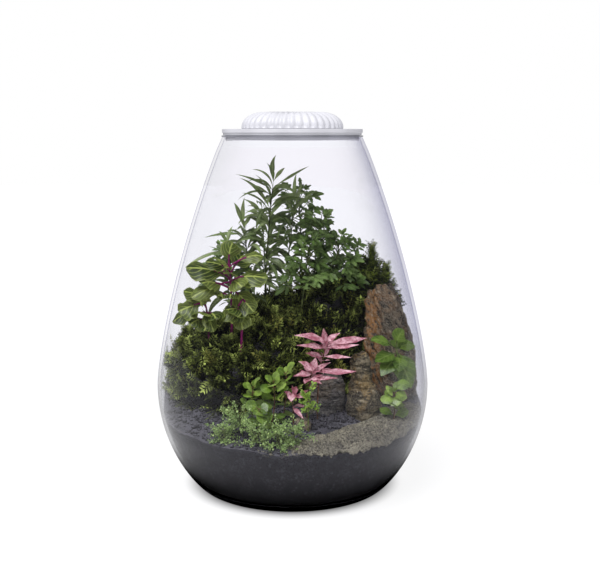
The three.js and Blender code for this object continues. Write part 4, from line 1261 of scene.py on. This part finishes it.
# Each kind of plant. Sizes are millimetres and angles degrees.
# leaf and bark name the finishes, and stem is the stem's radius. outline is the blade's, fold how steeply its
# halves rise from the rib, and ripple how wavy its edge is.
# For leaves placed singly, arch is the range of how far they arch up for their length. breadth widens them,
# tones is the range of their brightness, and stalk is the share of a leaf that has a round stalk under it.
# The others follow a rule. There are more times as many as in the solid, from the share first of the stem up.
# together of them grow at one height, and turn is the angle to the next ones. length, width, rise and droop
# go from the lowest leaf's to the topmost one's, scatter is how unruly they are, and none tips past
# reach_right.
KINDS = {
    "willow": {
        "leaf": "willow", "bark": "green", "stem": 1.2, "outline": "lance", "fold": 0.25, "ripple": 0.05,
        "arch": (0.06, 0.3), "breadth": 0.85, "first": 0.5, "more": 4.4, "together": 1, "turn": 137.5,
        "scatter": 62, "length": (45, 35), "width": (6, 4.8), "rise": (32, 56), "droop": (108, 80),
    },
    "aralia": {
        "leaf": "aralia", "bark": "green", "stem": 1.2, "outline": "toothed", "fold": 0.15, "ripple": 0.08,
        "reach_right": 74, "first": 0.7, "more": 4.3, "together": 1, "turn": 137.5,
        "scatter": 34, "length": (28, 22), "width": (25, 20), "rise": (26, 60), "droop": (40, 28),
    },
    "bloodleaf": {
        "leaf": "veined", "bark": "magenta", "stem": 2.1, "outline": "notched", "fold": -0.22, "ripple": 0.16,
        "arch": (0.1, 0.32), "breadth": 1.2, "stalk": 0.5,
    },
    "pink": {
        "leaf": "pink", "bark": "rose", "stem": 1, "outline": "lance", "fold": 0.4, "ripple": 0.12,
        "arch": (-0.05, 0.14), "breadth": 0.95, "first": 0.7, "more": 0.9, "together": 2, "turn": 72,
        "scatter": 60, "length": (20, 13), "width": (5, 4), "rise": (-4, 66), "droop": (34, 16),
    },
    "broad": {
        "leaf": "fresh", "bark": "green", "stem": 1.4, "outline": "broad", "fold": 0.14, "ripple": 0.05,
        "arch": (0.1, 0.32), "breadth": 1.25, "tones": (0, 0.4), "stalk": 0.34,
    },
    "round": {
        "leaf": "fresh", "bark": "rose", "stem": 0.9, "outline": "round", "fold": 0.1, "ripple": 0.03,
        "arch": (0.1, 0.32), "breadth": 1.25, "stalk": 0.34, "first": 0.3, "more": 1.2, "together": 2,
        "turn": 90, "scatter": 28, "length": (17, 12), "width": (12, 9.5), "rise": (8, 44), "droop": (26, 16),
    },
}

# Each leafy stem: its kind, foot, tip, how far it bows aside, the leaves of its solid and the first leaf's
# bearing. Where it has no leaves here, all of them are placed singly.
STEMS = {
    "willow_tall": ("willow", (-30, 30), (-20, 20, 314), (-4, 2), 15, 200),
    "willow_left": ("willow", (-46, 38), (-52, 26, 266), (4, -2), 9, 170),
    "willow_low": ("willow", (-58, 26), (-68, 14, 250), (2, -2), 7, 150),
    "willow_right": ("willow", (-12, 42), (2, 34, 286), (-3, 3), 10, 20),
    "willow_back": ("willow", (-26, 54), (-34, 56, 290), (0, 3), 8, 60),
    "aralia_front": ("aralia", (4, 22), (18, 4, 250), (-3, 0), 7, 250),
    "aralia_middle": ("aralia", (18, 40), (30, 28, 276), (-4, 2), 8, 330),
    "aralia_right": ("aralia", (36, 34), (50, 18, 254), (-5, 2), 7, 300),
    "aralia_low": ("aralia", (50, 36), (68, 26, 240), (-5, 2), 6, 20),
    "aralia_back": ("aralia", (8, 62), (6, 60, 300), (3, 2), 9, 100),
    "aralia_left": ("aralia", (-66, 44), (-72, 38, 240), (0, 2), 5, 210),
    "bloodleaf_upper": ("bloodleaf", (-72, -6), (-64, -18, 230), (5, -2), 0, 0),
    "bloodleaf_left": ("bloodleaf", (-86, -4), (-88, -22, 194), (2, -2), 0, 20),
    "bloodleaf_right": ("bloodleaf", (-56, -12), (-50, -26, 198), (0, -2), 0, 70),
    "pink_upper": ("pink", (26, -54), (34, -52, 158), (-4, 0), 12, 0),
    "pink_middle": ("pink", (16, -60), (20, -62, 132), (-3, 0), 10, 30),
    "pink_low": ("pink", (2, -66), (0, -72, 112), (0, 0), 6, 60),
    "broadleaf_upper": ("broad", (104, -30), (104, -38, 152), (3, -2), 0, 190),
    "broadleaf_low": ("round", (98, -54), (100, -62, 112), (2, -2), 8, 250),
    "roundleaf_left": ("round", (-34, -70), (-38, -74, 118), (-3, 0), 8, 20),
    "roundleaf_middle": ("round", (-24, -68), (-18, -74, 124), (3, 0), 10, 70),
    "roundleaf_right": ("round", (-14, -60), (-6, -64, 130), (3, 0), 8, 40),
    "roundleaf_front": ("round", (-30, -84), (-32, -92, 102), (2, 0), 8, 10),
}

# Leaves that show singly in the photograph: the share of the stem they grow from, their tip and their width.
PLACED = {
    "willow_tall": [
        (1, (-17, 18, 341), 7), (0.97, (17, 16, 330), 5), (0.96, (-59, 14, 322), 5),
        (0.86, (-55, 16, 318), 7), (0.93, (-29, 6, 295), 7), (0.93, (-43, 10, 311), 6),
        (0.9, (23, 16, 303), 7), (0.86, (18, 12, 295), 7), (1, (-27, 24, 333), 6), (1, (-8, 30, 328), 6),
        (0.8, (4, 14, 283), 7), (0.78, (-36, 4, 274), 7),
    ],
    "willow_left": [
        (1, (-62, 26, 292), 6), (1, (-51, 30, 297), 6), (0.95, (-93, 18, 256), 6), (0.9, (-80, 16, 246), 6),
        (1, (-42, 24, 280), 6), (0.85, (-32, 16, 254), 7),
    ],
    "willow_right": [
        (1, (10, 30, 314), 5), (0.97, (24, 26, 303), 5), (1, (4, 30, 322), 5), (0.95, (-8, 22, 306), 6),
    ],
    "willow_low": [
        (0.96, (-112, 4, 226), 6), (1, (-77, 16, 263), 6), (0.9, (-92, 2, 238), 6), (1, (-63, 20, 268), 6),
    ],
    "bloodleaf_upper": [
        (1, (-60, -20, 255), 18), (1, (-30, -16, 240), 14), (0.97, (-87, -24, 236), 15),
        (0.92, (-107, -26, 230), 24), (0.9, (-101, -34, 201), 16), (0.9, (-25, -24, 219), 22),
        (0.85, (-43, -30, 191), 20), (0.95, (-60, -38, 226), 12), (0.8, (-79, -30, 206), 14),
        (0.95, (-50, 12, 238), 20), (0.9, (-82, 10, 226), 20), (0.85, (-90, -36, 216), 18),
        (0.9, (-50, -38, 212), 18), (0.95, (-74, -40, 240), 16), (0.8, (-62, -44, 202), 15),
    ],
    "bloodleaf_left": [
        (1, (-115, -30, 186), 24), (1, (-82, -34, 203), 22), (0.95, (-79, -38, 167), 12),
        (0.9, (-122, -24, 174), 16), (1, (-105, -18, 197), 18), (0.95, (-104, 8, 190), 20),
        (0.9, (-93, -40, 186), 20), (0.85, (-102, -34, 174), 19), (0.9, (-76, -42, 181), 19),
        (0.8, (-88, -40, 168), 17), (0.95, (-110, -26, 206), 16),
    ],
    "bloodleaf_right": [
        (1, (-61, -36, 176), 20), (1, (-39, -32, 186), 18), (0.9, (-50, -38, 169), 16),
        (0.95, (-72, -34, 178), 14), (0.95, (-40, -2, 200), 18), (0.9, (-66, -42, 190), 18),
        (0.85, (-52, -44, 182), 17),
    ],
    "pink_upper": [
        (1, (31, -56, 174), 8), (1, (2, -62, 168), 10), (0.95, (4, -66, 159), 9), (1, (74, -46, 162), 10),
        (0.95, (66, -54, 157), 8), (1, (48, -44, 167), 7), (0.85, (58, -58, 145), 6),
        (0.85, (13, -60, 150), 8), (0.8, (37, -70, 145), 7), (0.95, (22, -30, 162), 8),
        (0.9, (50, -30, 156), 8),
    ],
    "pink_middle": [
        (1, (63, -62, 132), 8), (1, (6, -66, 143), 9), (0.95, (1, -70, 129), 9), (0.95, (38, -58, 140), 8),
        (0.9, (12, -76, 123), 8), (0.9, (29, -74, 122), 7), (0.85, (45, -66, 126), 6),
        (1, (23, -62, 146), 8), (0.95, (14, -42, 136), 8),
    ],
    "pink_low": [
        (1, (-1, -80, 106), 9), (1, (4, -74, 120), 8), (0.95, (14, -78, 110), 7), (0.9, (-8, -74, 115), 7),
        (0.9, (0, -54, 112), 7),
    ],
    "broadleaf_upper": [
        (1, (112, -40, 169), 16), (0.97, (78, -46, 159), 11), (0.92, (82, -52, 139), 16),
        (0.95, (118, -52, 112), 19), (0.85, (88, -54, 125), 15), (0.95, (125, -30, 150), 14),
        (0.9, (105, -56, 130), 14), (0.95, (112, -16, 150), 16),
    ],
    "broadleaf_low": [
        (1, (93, -64, 112), 11), (1, (115, -60, 120), 11), (0.95, (112, -66, 106), 11),
        (0.9, (89, -68, 101), 11), (0.9, (102, -72, 99), 11), (0.95, (100, -46, 112), 11),
    ],
    "roundleaf_left": [
        (1, (-44, -78, 121), 11), (1, (-33, -80, 127), 10), (0.9, (-27, -80, 115), 11),
        (0.85, (-44, -82, 111), 9),
    ],
    "roundleaf_middle": [
        (1, (-26, -78, 129), 9), (1, (-12, -74, 132), 10), (0.95, (-19, -82, 122), 9),
        (0.9, (-8, -78, 119), 12), (0.9, (-30, -82, 117), 10),
    ],
    "roundleaf_right": [
        (1, (-16, -62, 132), 11), (1, (1, -68, 138), 13), (0.9, (-2, -72, 127), 10),
        (0.85, (-11, -74, 114), 10),
    ],
    "roundleaf_front": [
        (1, (-45, -92, 105), 12), (1, (-22, -92, 102), 11), (0.95, (-35, -98, 98), 11),
        (0.9, (-28, -102, 90), 10),
    ],
}


def stem_curve(foot, tip, bow):
    """The corners of a stem's curve: its root in the soil, its middle and its tip."""
    root = np.array([*foot, soil_height(*foot) - 12], float)
    top = np.asarray(tip, float)
    middle = (root + top) / 2 + 2 * np.array([*bow, 0])
    return root, middle, top


def tube(spine, radii, sides=7):
    """Rings of points round a line of places."""
    along = unit(np.gradient(spine, axis=0))
    across = unit(np.cross(along, np.array([0.2, 1, 0.1])))
    other = np.cross(across, along)
    turns = np.linspace(0, 2 * np.pi, sides, endpoint=False)
    ring = across[:, None] * np.cos(turns)[None, :, None] + other[:, None] * np.sin(turns)[None, :, None]
    return spine[:, None] + ring * np.asarray(radii)[:, None, None]


def blade(spine, across, width, outline, fold, ripple=0.0, seed=0, cols=5):
    """A leaf's surface along a spine: wide as its outline, folded along the rib, rippled at the edge."""
    shares = np.linspace(0, 1, len(spine))
    stations = np.array(OUTLINES[outline])
    half = np.interp(shares, stations[:, 0], stations[:, 1]) * width / 2
    along = unit(np.gradient(spine, axis=0))
    above = unit(np.cross(across, along))
    side = np.linspace(-1, 1, cols)
    lift = fold * np.abs(side) ** 1.3 - 0.12 * side**2
    wave = ripple * width * np.sin(shares * 17 + seed)[:, None] * side**3 * (half / max(width, 1e-6))[:, None]
    return (
        spine[:, None]
        + across[:, None] * (side[None, :, None] * half[:, None, None])
        + above[:, None] * (lift[None, :] * half[:, None] + wave)[..., None]
    )


def rule_spine(start, heading, rise, droop, size, rows, light, sweep):
    """A spine that leaves the stem at a slope of rise degrees, bends down by droop and aside by sweep."""
    shares = np.linspace(0, 1, rows)
    slope, turn = np.radians(rise - droop * shares), np.radians(heading + sweep * shares)
    steps = np.column_stack([np.cos(turn) * np.cos(slope), np.sin(turn) * np.cos(slope), np.sin(slope)])
    spine = start + np.vstack([np.zeros(3), np.cumsum(steps[:-1], axis=0)]) * size / (rows - 1)
    level = np.array([math.sin(turn[0]), -math.cos(turn[0]), 0.0])
    turned = unit(np.cross(unit(np.gradient(spine, axis=0)), np.array(light)))
    return spine, unit(0.35 * level + turned)


def aimed_spine(start, tip, arch, rows, seed):
    """A spine from the stem to a known tip that arches up on the way, with its blade turned to the light."""
    size = np.linalg.norm(tip - start)
    middle = (start + tip) / 2 + np.array([0.4 * (draw(seed + 19) - 0.5) * size, 0, arch * size])
    spine = bezier([start, middle, tip], np.linspace(0, 1, rows))
    light = np.array([0.7 * (draw(seed) - 0.5), -0.55, 0.8])
    return spine, unit(np.cross(unit(np.gradient(spine, axis=0)), light))


def add_leaf(batch, kind, spine, across, width, tone, seed):
    """One leaf: a single blade, or five toothed lobes that spread from a thin stalk."""
    if kind["outline"] != "toothed":
        batch.grid(blade(spine, across, width, kind["outline"], kind["fold"], kind["ripple"], seed), tone)
        return
    batch.grid(tube(spine, np.linspace(0.5, 0.25, len(spine)), 4), tone, 1, wrap=True)
    along = unit(np.gradient(spine, axis=0))
    size = np.linalg.norm(spine[-1] - spine[0])
    level = np.array([0.9 * draw(seed + 5) - 0.4, -0.6, mix(0.35, 1, draw(seed + 6))])
    shares = np.linspace(0, 1, 9)[:, None]
    lobes = ((0, 0.8, 0.6), (1, 0.76, 0.54), (-1, 0.76, 0.54), (1.9, 0.7, 0.42), (-1.9, 0.7, 0.42))
    for side, share, reach in lobes:
        row = int(share * (len(spine) - 1))
        seed += 1
        turn = side * math.radians(mix(40, 52, draw(seed)))
        sheet = unit(np.cross(across[row], along[row]))
        ahead = along[row] * math.cos(turn) + across[row] * math.sin(turn)
        ahead = unit(ahead + 0.25 * (draw(seed + 7) - 0.5) * sheet)
        reach *= size * mix(0.8, 1.1, draw(seed + 3))
        leaflet = spine[row] + ahead * reach * shares - np.array([0, 0, 1]) * reach * 0.22 * shares**2
        flat = unit(np.cross(np.tile(ahead, (len(shares), 1)), level))
        lobe = blade(leaflet, flat, reach * 0.48, "toothed", 0.25, 0.1, seed, 3)
        batch.grid(lobe, np.clip(tone + 0.3 * (draw(seed + 9) - 0.5), 0, 1))


def placed_leaf(batch, kind, start, tip, width, seed):
    """A leaf that ends at a known tip. Some kinds have a round stalk under the first share of it."""
    tip = np.asarray(tip, float)
    rows = 12 if np.linalg.norm(tip - start) > 20 else 9
    path, across = aimed_spine(start, tip, mix(*kind["arch"], draw(seed + 2)), rows, seed)
    tone = mix(*kind.get("tones", (0.45, 1)), draw(seed + 1))
    add_leaf(batch, kind, path, across, width * kind["breadth"], tone, seed)
    if "stalk" in kind:
        stalk = path[: max(3, int(rows * kind["stalk"]))]
        batch.grid(tube(stalk, np.full(len(stalk), kind["stem"] * 0.45), 5), 0.5, 1, wrap=True)


def leafy_stem(name, batch):
    """Adds one stem with all its leaves to a batch: blades in slot 0 and stalks in slot 1."""
    kind_name, foot, tip, bow, leaves, start = STEMS[name]
    kind = KINDS[kind_name]
    corners = stem_curve(foot, tip, bow)
    radii = np.linspace(kind["stem"], kind["stem"] * 0.45, 16)
    radii[-1] = 0.1
    batch.grid(tube(bezier(corners, np.linspace(0, 1, len(radii))), radii), 0.5, 1, wrap=True)

    def at(share):
        return bezier(corners, np.array([share]))[0]

    for index, (share, end, width) in enumerate(PLACED.get(name, [])):
        placed_leaf(batch, kind, at(share), end, width, start + 400 + index * 7)
    groups = round(leaves * kind["more"] / kind["together"]) if leaves else 0
    for g, side in product(range(groups), range(kind.get("together", 0))):
        height = g / max(groups - 1, 1)
        seed = start + g * 3 + side
        scatter = kind["scatter"]
        size = mix(*kind["length"], height) * mix(0.95 - scatter / 140, 1.1, draw(seed + 83))
        path, across = rule_spine(
            at(mix(kind["first"], 0.97, height)),
            start + g * kind["turn"] + side * 180 + scatter * mix(-1, 1, draw(seed)),
            mix(*kind["rise"], height) + 0.7 * scatter * mix(-1, 1, draw(seed + 31)),
            mix(*kind["droop"], height) * mix(0.6, 1.3, draw(seed + 57)),
            size,
            12 if size > 20 else 8,
            (0.25 + scatter / 45 * mix(-1, 1, draw(seed + 71)), -0.6, 0.75),
            scatter * mix(-1, 1, draw(seed + 97)),
        )
        if path[-1, 0] < kind.get("reach_right", math.inf):
            width = mix(*kind["width"], height) * mix(0.85, 1.15, draw(seed + 29))
            add_leaf(batch, kind, path, across, width, draw(seed + 11), seed)


class TERRARIUM_OT_leafy_plants(bpy.types.Operator):
    """Grow the leafy plants: every stem with its stalks and blades"""

    bl_idname = "terrarium.leafy_plants"
    bl_label = "Leafy plants"

    def execute(self, context):
        look = context.scene.terrarium_plants
        vessel = Vessel(context.scene.terrarium_vessel)
        barks = {
            "green": stem_skin("green_stem", look.stem_green, linear("#2f3a1c")),
            "magenta": stem_skin("magenta_stem", look.stem_magenta, linear("#5c0d44")),
            "rose": stem_skin("rose_stem", linear("#7a5240"), linear("#4a3524")),
        }
        skins = {key: leaf_finish(key) for key in ("willow", "aralia", "veined", "pink", "fresh")}
        for name, (kind_name, *_) in STEMS.items():
            kind = KINDS[kind_name]
            batch = MeshBatch()
            leafy_stem(name, batch)
            slot, skin = skins[kind["leaf"]]
            place(batch.build(name + "_leaves", vessel.hold(1)), name, slot, skin, barks[kind["bark"]])
        return {"FINISHED"}


# ---------------------------------------------------------------- ground cover, sprout and fir-like shoots

# Each low plant: its foot, its tip and how many twigs it has.
CREEPERS = {
    "sprout": ((15, -82), (18, -86, 116), 9),
    "creeper_far_left": ((-58, -100), (-72, -104, 90), 26),
    "creeper_left": ((-46, -96), (-52, -98, 101), 30),
    "creeper_middle": ((-34, -112), (-31, -118, 92), 30),
    "creeper_right": ((-14, -112), (-12, -118, 92), 30),
    "creeper_far_right": ((-2, -110), (7, -116, 90), 26),
}

# How they grow: the highest row of the stem with a twig, the twigs' lengths and slopes, and the leaves' size.
HABITS = {
    "sprout": {"highest": 10.9, "reach": (8, 15), "rise": (0.3, 1.4), "leaf_size": 1.5},
    "creeper": {"highest": 8.9, "reach": (9, 24), "rise": (-0.9, 1.1), "leaf_size": 1.0},
}

# Each fir-like shoot: its foot, its tip, how far it bows aside and how many side shoots it has.
SPRUCES = {
    "spruce_tall": ((84, 50), (86, 42, 242), (2, 0), 130),
    "spruce_right": ((96, 46), (101, 38, 222), (2, 0), 100),
    "spruce_left": ((70, 50), (68, 42, 226), (-2, 0), 100),
}


def leaflet_template():
    """A tiny oval leaf one unit long: two folded halves."""
    half = [(0, 0, 0), (0.42, 0.36, 0.1), (0.36, 0.8, 0.08), (0, 1, 0)]
    points = half + [(-0.36, 0.8, 0.08), (-0.42, 0.36, 0.1)]
    faces = [[0, 1, 2, 3], [0, 3, 4, 5]]
    uvs = [(0.5, 0), (0.9, 0.34), (0.85, 0.75), (0.5, 1), (0.15, 0.75), (0.1, 0.34)]
    return np.array(points, float), np.array(faces), np.array(uvs, float)


class TERRARIUM_OT_ground_cover(bpy.types.Operator):
    """Grow the creeping ground cover and the yellow-green sprout: thin branching stems with tiny leaves"""

    bl_idname = "terrarium.ground_cover"
    bl_label = "Ground cover"

    def execute(self, context):
        vessel = Vessel(context.scene.terrarium_vessel)
        skins = {"creeper": leaf_finish("tiny"), "sprout": leaf_finish("lime")}
        twig = stem_skin("thin_green_stem", linear("#7d8a4a"), linear("#4e5a2a"))
        template = leaflet_template()
        for number, (name, (foot, tip, twigs)) in enumerate(CREEPERS.items()):
            rng = np.random.default_rng(40 + number)
            batch = MeshBatch()
            root, _, top = stem_curve(foot, tip, (0, 0))
            middle = np.array([mix(foot[0], tip[0], 0.4), mix(foot[1], tip[1], 0.4), tip[2] - 4])
            trunk = bezier([root, middle, top], np.linspace(0, 1, 12))
            batch.grid(tube(trunk, np.linspace(0.8, 0.3, len(trunk)), 5), 0.5, 1, wrap=True)
            growth = name.split("_")[0]
            habit = HABITS[growth]
            for _twig in range(twigs):
                start = trunk[int(mix(4, habit["highest"], rng.uniform()))]
                turn = rng.uniform(0, 2 * np.pi)
                reach = rng.uniform(*habit["reach"])
                way = np.array([math.cos(turn), math.sin(turn), rng.uniform(*habit["rise"])])
                bend = start + way * reach * 0.45
                path = bezier([start, bend, start + unit(way) * reach], np.linspace(0, 1, 9))
                path[:, 2] = np.maximum(path[:, 2], soil_height(path[:, 0], path[:, 1]) + 2)
                batch.grid(tube(path, np.linspace(0.35, 0.15, len(path)), 4), 0.5, 1, wrap=True)
                self.leaves(batch, template, path, rng, habit["leaf_size"])
            place(batch.build(name + "_leaves", vessel.hold(0.8)), name, *skins[growth], twig)
        return {"FINISHED"}

    def leaves(self, batch, template, path, rng, scale):
        """Tiny leaves all along a twig, denser towards its tip."""
        count = 24
        shares = np.sqrt(rng.uniform(0.05, 1, count))
        rows = shares * (len(path) - 1)
        low = np.minimum(rows.astype(int), len(path) - 2)
        origins = mix(path[low], path[low + 1], (rows - low)[:, None])
        origins += rng.normal(0, 1.1, origins.shape)
        along = unit(path[low + 1] - path[low])
        aim = unit(along * 0.5 + rng.normal(0, 0.7, (count, 3)) + np.array([0, 0, 0.35]))
        sizes = rng.uniform(1.5, 2.6, count) * scale * mix(1.1, 0.75, shares)
        across = unit(np.cross(aim, rng.normal(0, 0.3, (count, 3)) + np.array([0, -0.4, 1.0])))
        above = np.cross(across, aim)
        axes = np.stack([across * sizes[:, None], aim * sizes[:, None], above * sizes[:, None]], 1)
        batch.copies(template, origins, axes, rng.uniform(0, 1, count))


class TERRARIUM_OT_spruce_moss(bpy.types.Operator):
    """Grow the upright fir-like shoots at the right of the back cushion"""

    bl_idname = "terrarium.spruce_moss"
    bl_label = "Fir-like shoots"

    def execute(self, context):
        vessel = Vessel(context.scene.terrarium_vessel)
        green = shoot_moss("spike_moss", linear("#1a260a"), linear("#a8bc50"), linear("#b8bc58"))
        bark = stem_skin("brown_stem", linear("#4a3b22"), linear("#2c2212"))
        template = shoot_template(6, 0.24, 0.022, 0.6)
        for number, (name, (foot, tip, bow, count)) in enumerate(SPRUCES.items()):
            rng = np.random.default_rng(70 + number)
            batch = MeshBatch()
            corners = stem_curve(foot, tip, bow)
            trunk = bezier(corners, np.linspace(0, 1, 14))
            batch.grid(tube(trunk, np.linspace(2, 0.5, len(trunk)), 6), 0.4, 1, wrap=True)
            shares = np.linspace(0.6, 1, count)
            turns = np.radians(np.arange(count) * GOLDEN_ANGLE)
            rise = mix(0.5, 2.4, smoothstep((shares - 0.6) / 0.4))
            aim = np.column_stack([np.cos(turns), np.sin(turns), rise]) + rng.normal(0, 0.15, (count, 3))
            lengths = mix(34, 11, smoothstep((shares - 0.6) / 0.36)) * rng.uniform(0.85, 1.15, count)
            lengths *= 0.95 - 0.15 * np.cos(turns)
            axes = shoot_axes(aim, np.tile([0, 0, 1.0], (count, 1)), lengths, lengths, rng)
            tones = rng.uniform(0.2, 0.9, count) * mix(0.5, 1.1, smoothstep((shares - 0.65) / 0.3))
            batch.copies(template, bezier(corners, shares), axes, tones)
            place(batch.build(name + "_shoots", vessel.hold(1)), name, "spruce_moss", green, bark)
        return {"FINISHED"}


# ---------------------------------------------------------------- the stage


class TERRARIUM_OT_stage(bpy.types.Operator):
    """Set up the pale floor, the soft studio light and the camera at the photograph's angle"""

    bl_idname = "terrarium.stage"
    bl_label = "Stage"

    def execute(self, context):
        look = context.scene.terrarium_stage
        scene = context.scene
        scene.view_settings.view_transform = "Standard"
        deselect_all()
        just_under_the_foot = -0.4 * MM
        bpy.ops.mesh.primitive_plane_add(size=12, location=(0, 0, just_under_the_foot))
        floor = name_piece("floor")
        floor.data.materials.append(self.acrylic(look))

        # The suns don't shine on the glass itself, whose mirror images come from the studio's walls.
        unlit = bpy.data.collections.new("not_lit_directly")
        unlit.objects.link(bpy.data.objects["glass_wall"])
        unlit.collection_objects[0].light_linking.link_state = "EXCLUDE"
        for name, strength, turn, angle in (
            ("key_light", look.key, (31, 0, -38), 34),
            ("fill_light", look.fill, (52, 0, 50), 60),
        ):
            deselect_all()
            bpy.ops.object.light_add(type="SUN", rotation=[math.radians(a) for a in turn])
            lamp = context.object
            lamp.name = name
            lamp.data.energy = strength
            lamp.data.angle = math.radians(angle)
            lamp.light_linking.receiver_collection = unlit

        self.world(look.ambient)
        deselect_all()
        # The camera stands a metre in front and looks down a little, as in the photograph.
        tilt = math.radians(90 - 9.25)
        bpy.ops.object.camera_add(location=(0.0077, -1.0, 0.363), rotation=(tilt, 0, 0))
        camera = context.object
        camera.name = "camera"
        camera.data.lens = look.focal_length
        camera.data.sensor_width = 36
        scene.camera = camera
        return {"FINISHED"}

    def acrylic(self, look):
        """Pale acrylic, lit from below, but only faintly under and round the foot, which is a painted contact
        shadow. In mirror images it is black near the foot and dimmed farther out, which is painted shadow.
        """
        material, shader, add = new_material("backlit_acrylic", Roughness=0.9, IOR=1.4)
        where = add("TexCoord").outputs["Object"]
        away = add("VectorMath", where, operation="LENGTH")
        drift = add("MapRange", grain(add, where, 400, 1), 0.3, 0.7, **SMOOTH)
        near = [c * 0.99 for c in look.floor]
        feed(shader.inputs["Base Color"], add("Mix", drift, look.floor, near, **COLOURS))
        feed(shader.inputs["Emission Color"], (1, 1, 1))
        # Painted contact shadow: the backlight fades almost out under and round the foot.
        lit = add("MapRange", away, 0.088, 0.118, look.backlight * 0.04, look.backlight, **SMOOTH)
        feed(shader.inputs["Emission Strength"], lit)
        # Painted shadow in mirror images: black near the foot, six tenths as bright farther out.
        mirrored = add("Math", add("LightPath").outputs["Glossy Depth"], 1.0, operation="MINIMUM")
        far = add("MapRange", away, 0.11, 0.2, 1.0, 0.4, **SMOOTH)
        surface_mix(material, add, add("Math", mirrored, far, **TIMES), shader)
        material.cycles.emission_sampling = "NONE"
        return material

    def world(self, ambient):
        """White behind the vessel, also through its glass, with softer and darker walls round the studio."""
        world = bpy.data.worlds.new("studio")
        bpy.context.scene.world = world
        world.use_nodes = True
        world.node_tree.nodes.clear()
        add = partial(add_node, world.node_tree)
        path = add("LightPath").outputs
        height = add("SeparateXYZ", add("TexCoord").outputs["Generated"]).outputs[2]
        low = add("MapRange", height, -0.9, 0.2, **SMOOTH)
        walls = add("Mix", low, (0.09, 0.09, 0.1), (0.13, 0.13, 0.15), **COLOURS)
        walls = add("Mix", add("MapRange", height, 0.1, 0.8, **SMOOTH), walls, (0.15, 0.15, 0.17), **COLOURS)
        even = (ambient, ambient, ambient * 1.03)
        is_mirrored = add("Math", path["Glossy Depth"], 1.0, operation="MINIMUM")
        mirrored = add("Mix", is_mirrored, even, walls, **COLOURS)
        unmirrored = add("Math", path["Glossy Depth"], 0.5, operation="LESS_THAN")
        behind = add("Math", path["Is Transmission Ray"], unmirrored, **TIMES)
        through = add("Mix", behind, mirrored, (1.06, 1.045, 1.06), **COLOURS)
        seen = add("Mix", path["Is Camera Ray"], through, (1, 1, 1), **COLOURS)
        add("OutputWorld", add("Background", seen))


# ---------------------------------------------------------------- panel and registration

GROUPS = {
    "terrarium_vessel": VesselSizes,
    "terrarium_lid": LidSizes,
    "terrarium_ground": GroundLook,
    "terrarium_plants": PlantLook,
    "terrarium_stage": StageLook,
}
OPERATORS = (
    TERRARIUM_OT_glass,
    TERRARIUM_OT_lid,
    TERRARIUM_OT_soil,
    TERRARIUM_OT_sand,
    TERRARIUM_OT_stones,
    TERRARIUM_OT_moss,
    TERRARIUM_OT_leafy_plants,
    TERRARIUM_OT_ground_cover,
    TERRARIUM_OT_spruce_moss,
    TERRARIUM_OT_stage,
)


class TERRARIUM_PT_sidebar(bpy.types.Panel):
    """Lists the sizes and colours, and the steps that build the terrarium"""

    bl_idname = "TERRARIUM_PT_sidebar"
    bl_label = "Terrarium"
    bl_space_type = "VIEW_3D"
    bl_region_type = "UI"
    bl_category = "Terrarium"

    def draw(self, context):
        for key, group in GROUPS.items():
            box = self.layout.box()
            for field in group.__annotations__:
                box.prop(getattr(context.scene, key), field)
        for operator in OPERATORS:
            self.layout.operator(operator.bl_idname)


CLASSES = (*GROUPS.values(), *OPERATORS, TERRARIUM_PT_sidebar)


def register():
    for made in CLASSES:
        bpy.utils.register_class(made)
    for key, group in GROUPS.items():
        setattr(bpy.types.Scene, key, PointerProperty(type=group))


def unregister():
    for key in GROUPS:
        delattr(bpy.types.Scene, key)
    for made in reversed(CLASSES):
        bpy.utils.unregister_class(made)


def main():
    register()
    for operator in OPERATORS:
        getattr(bpy.ops.terrarium, operator.bl_idname.split(".")[1])()


if __name__ == "__main__":
    main()
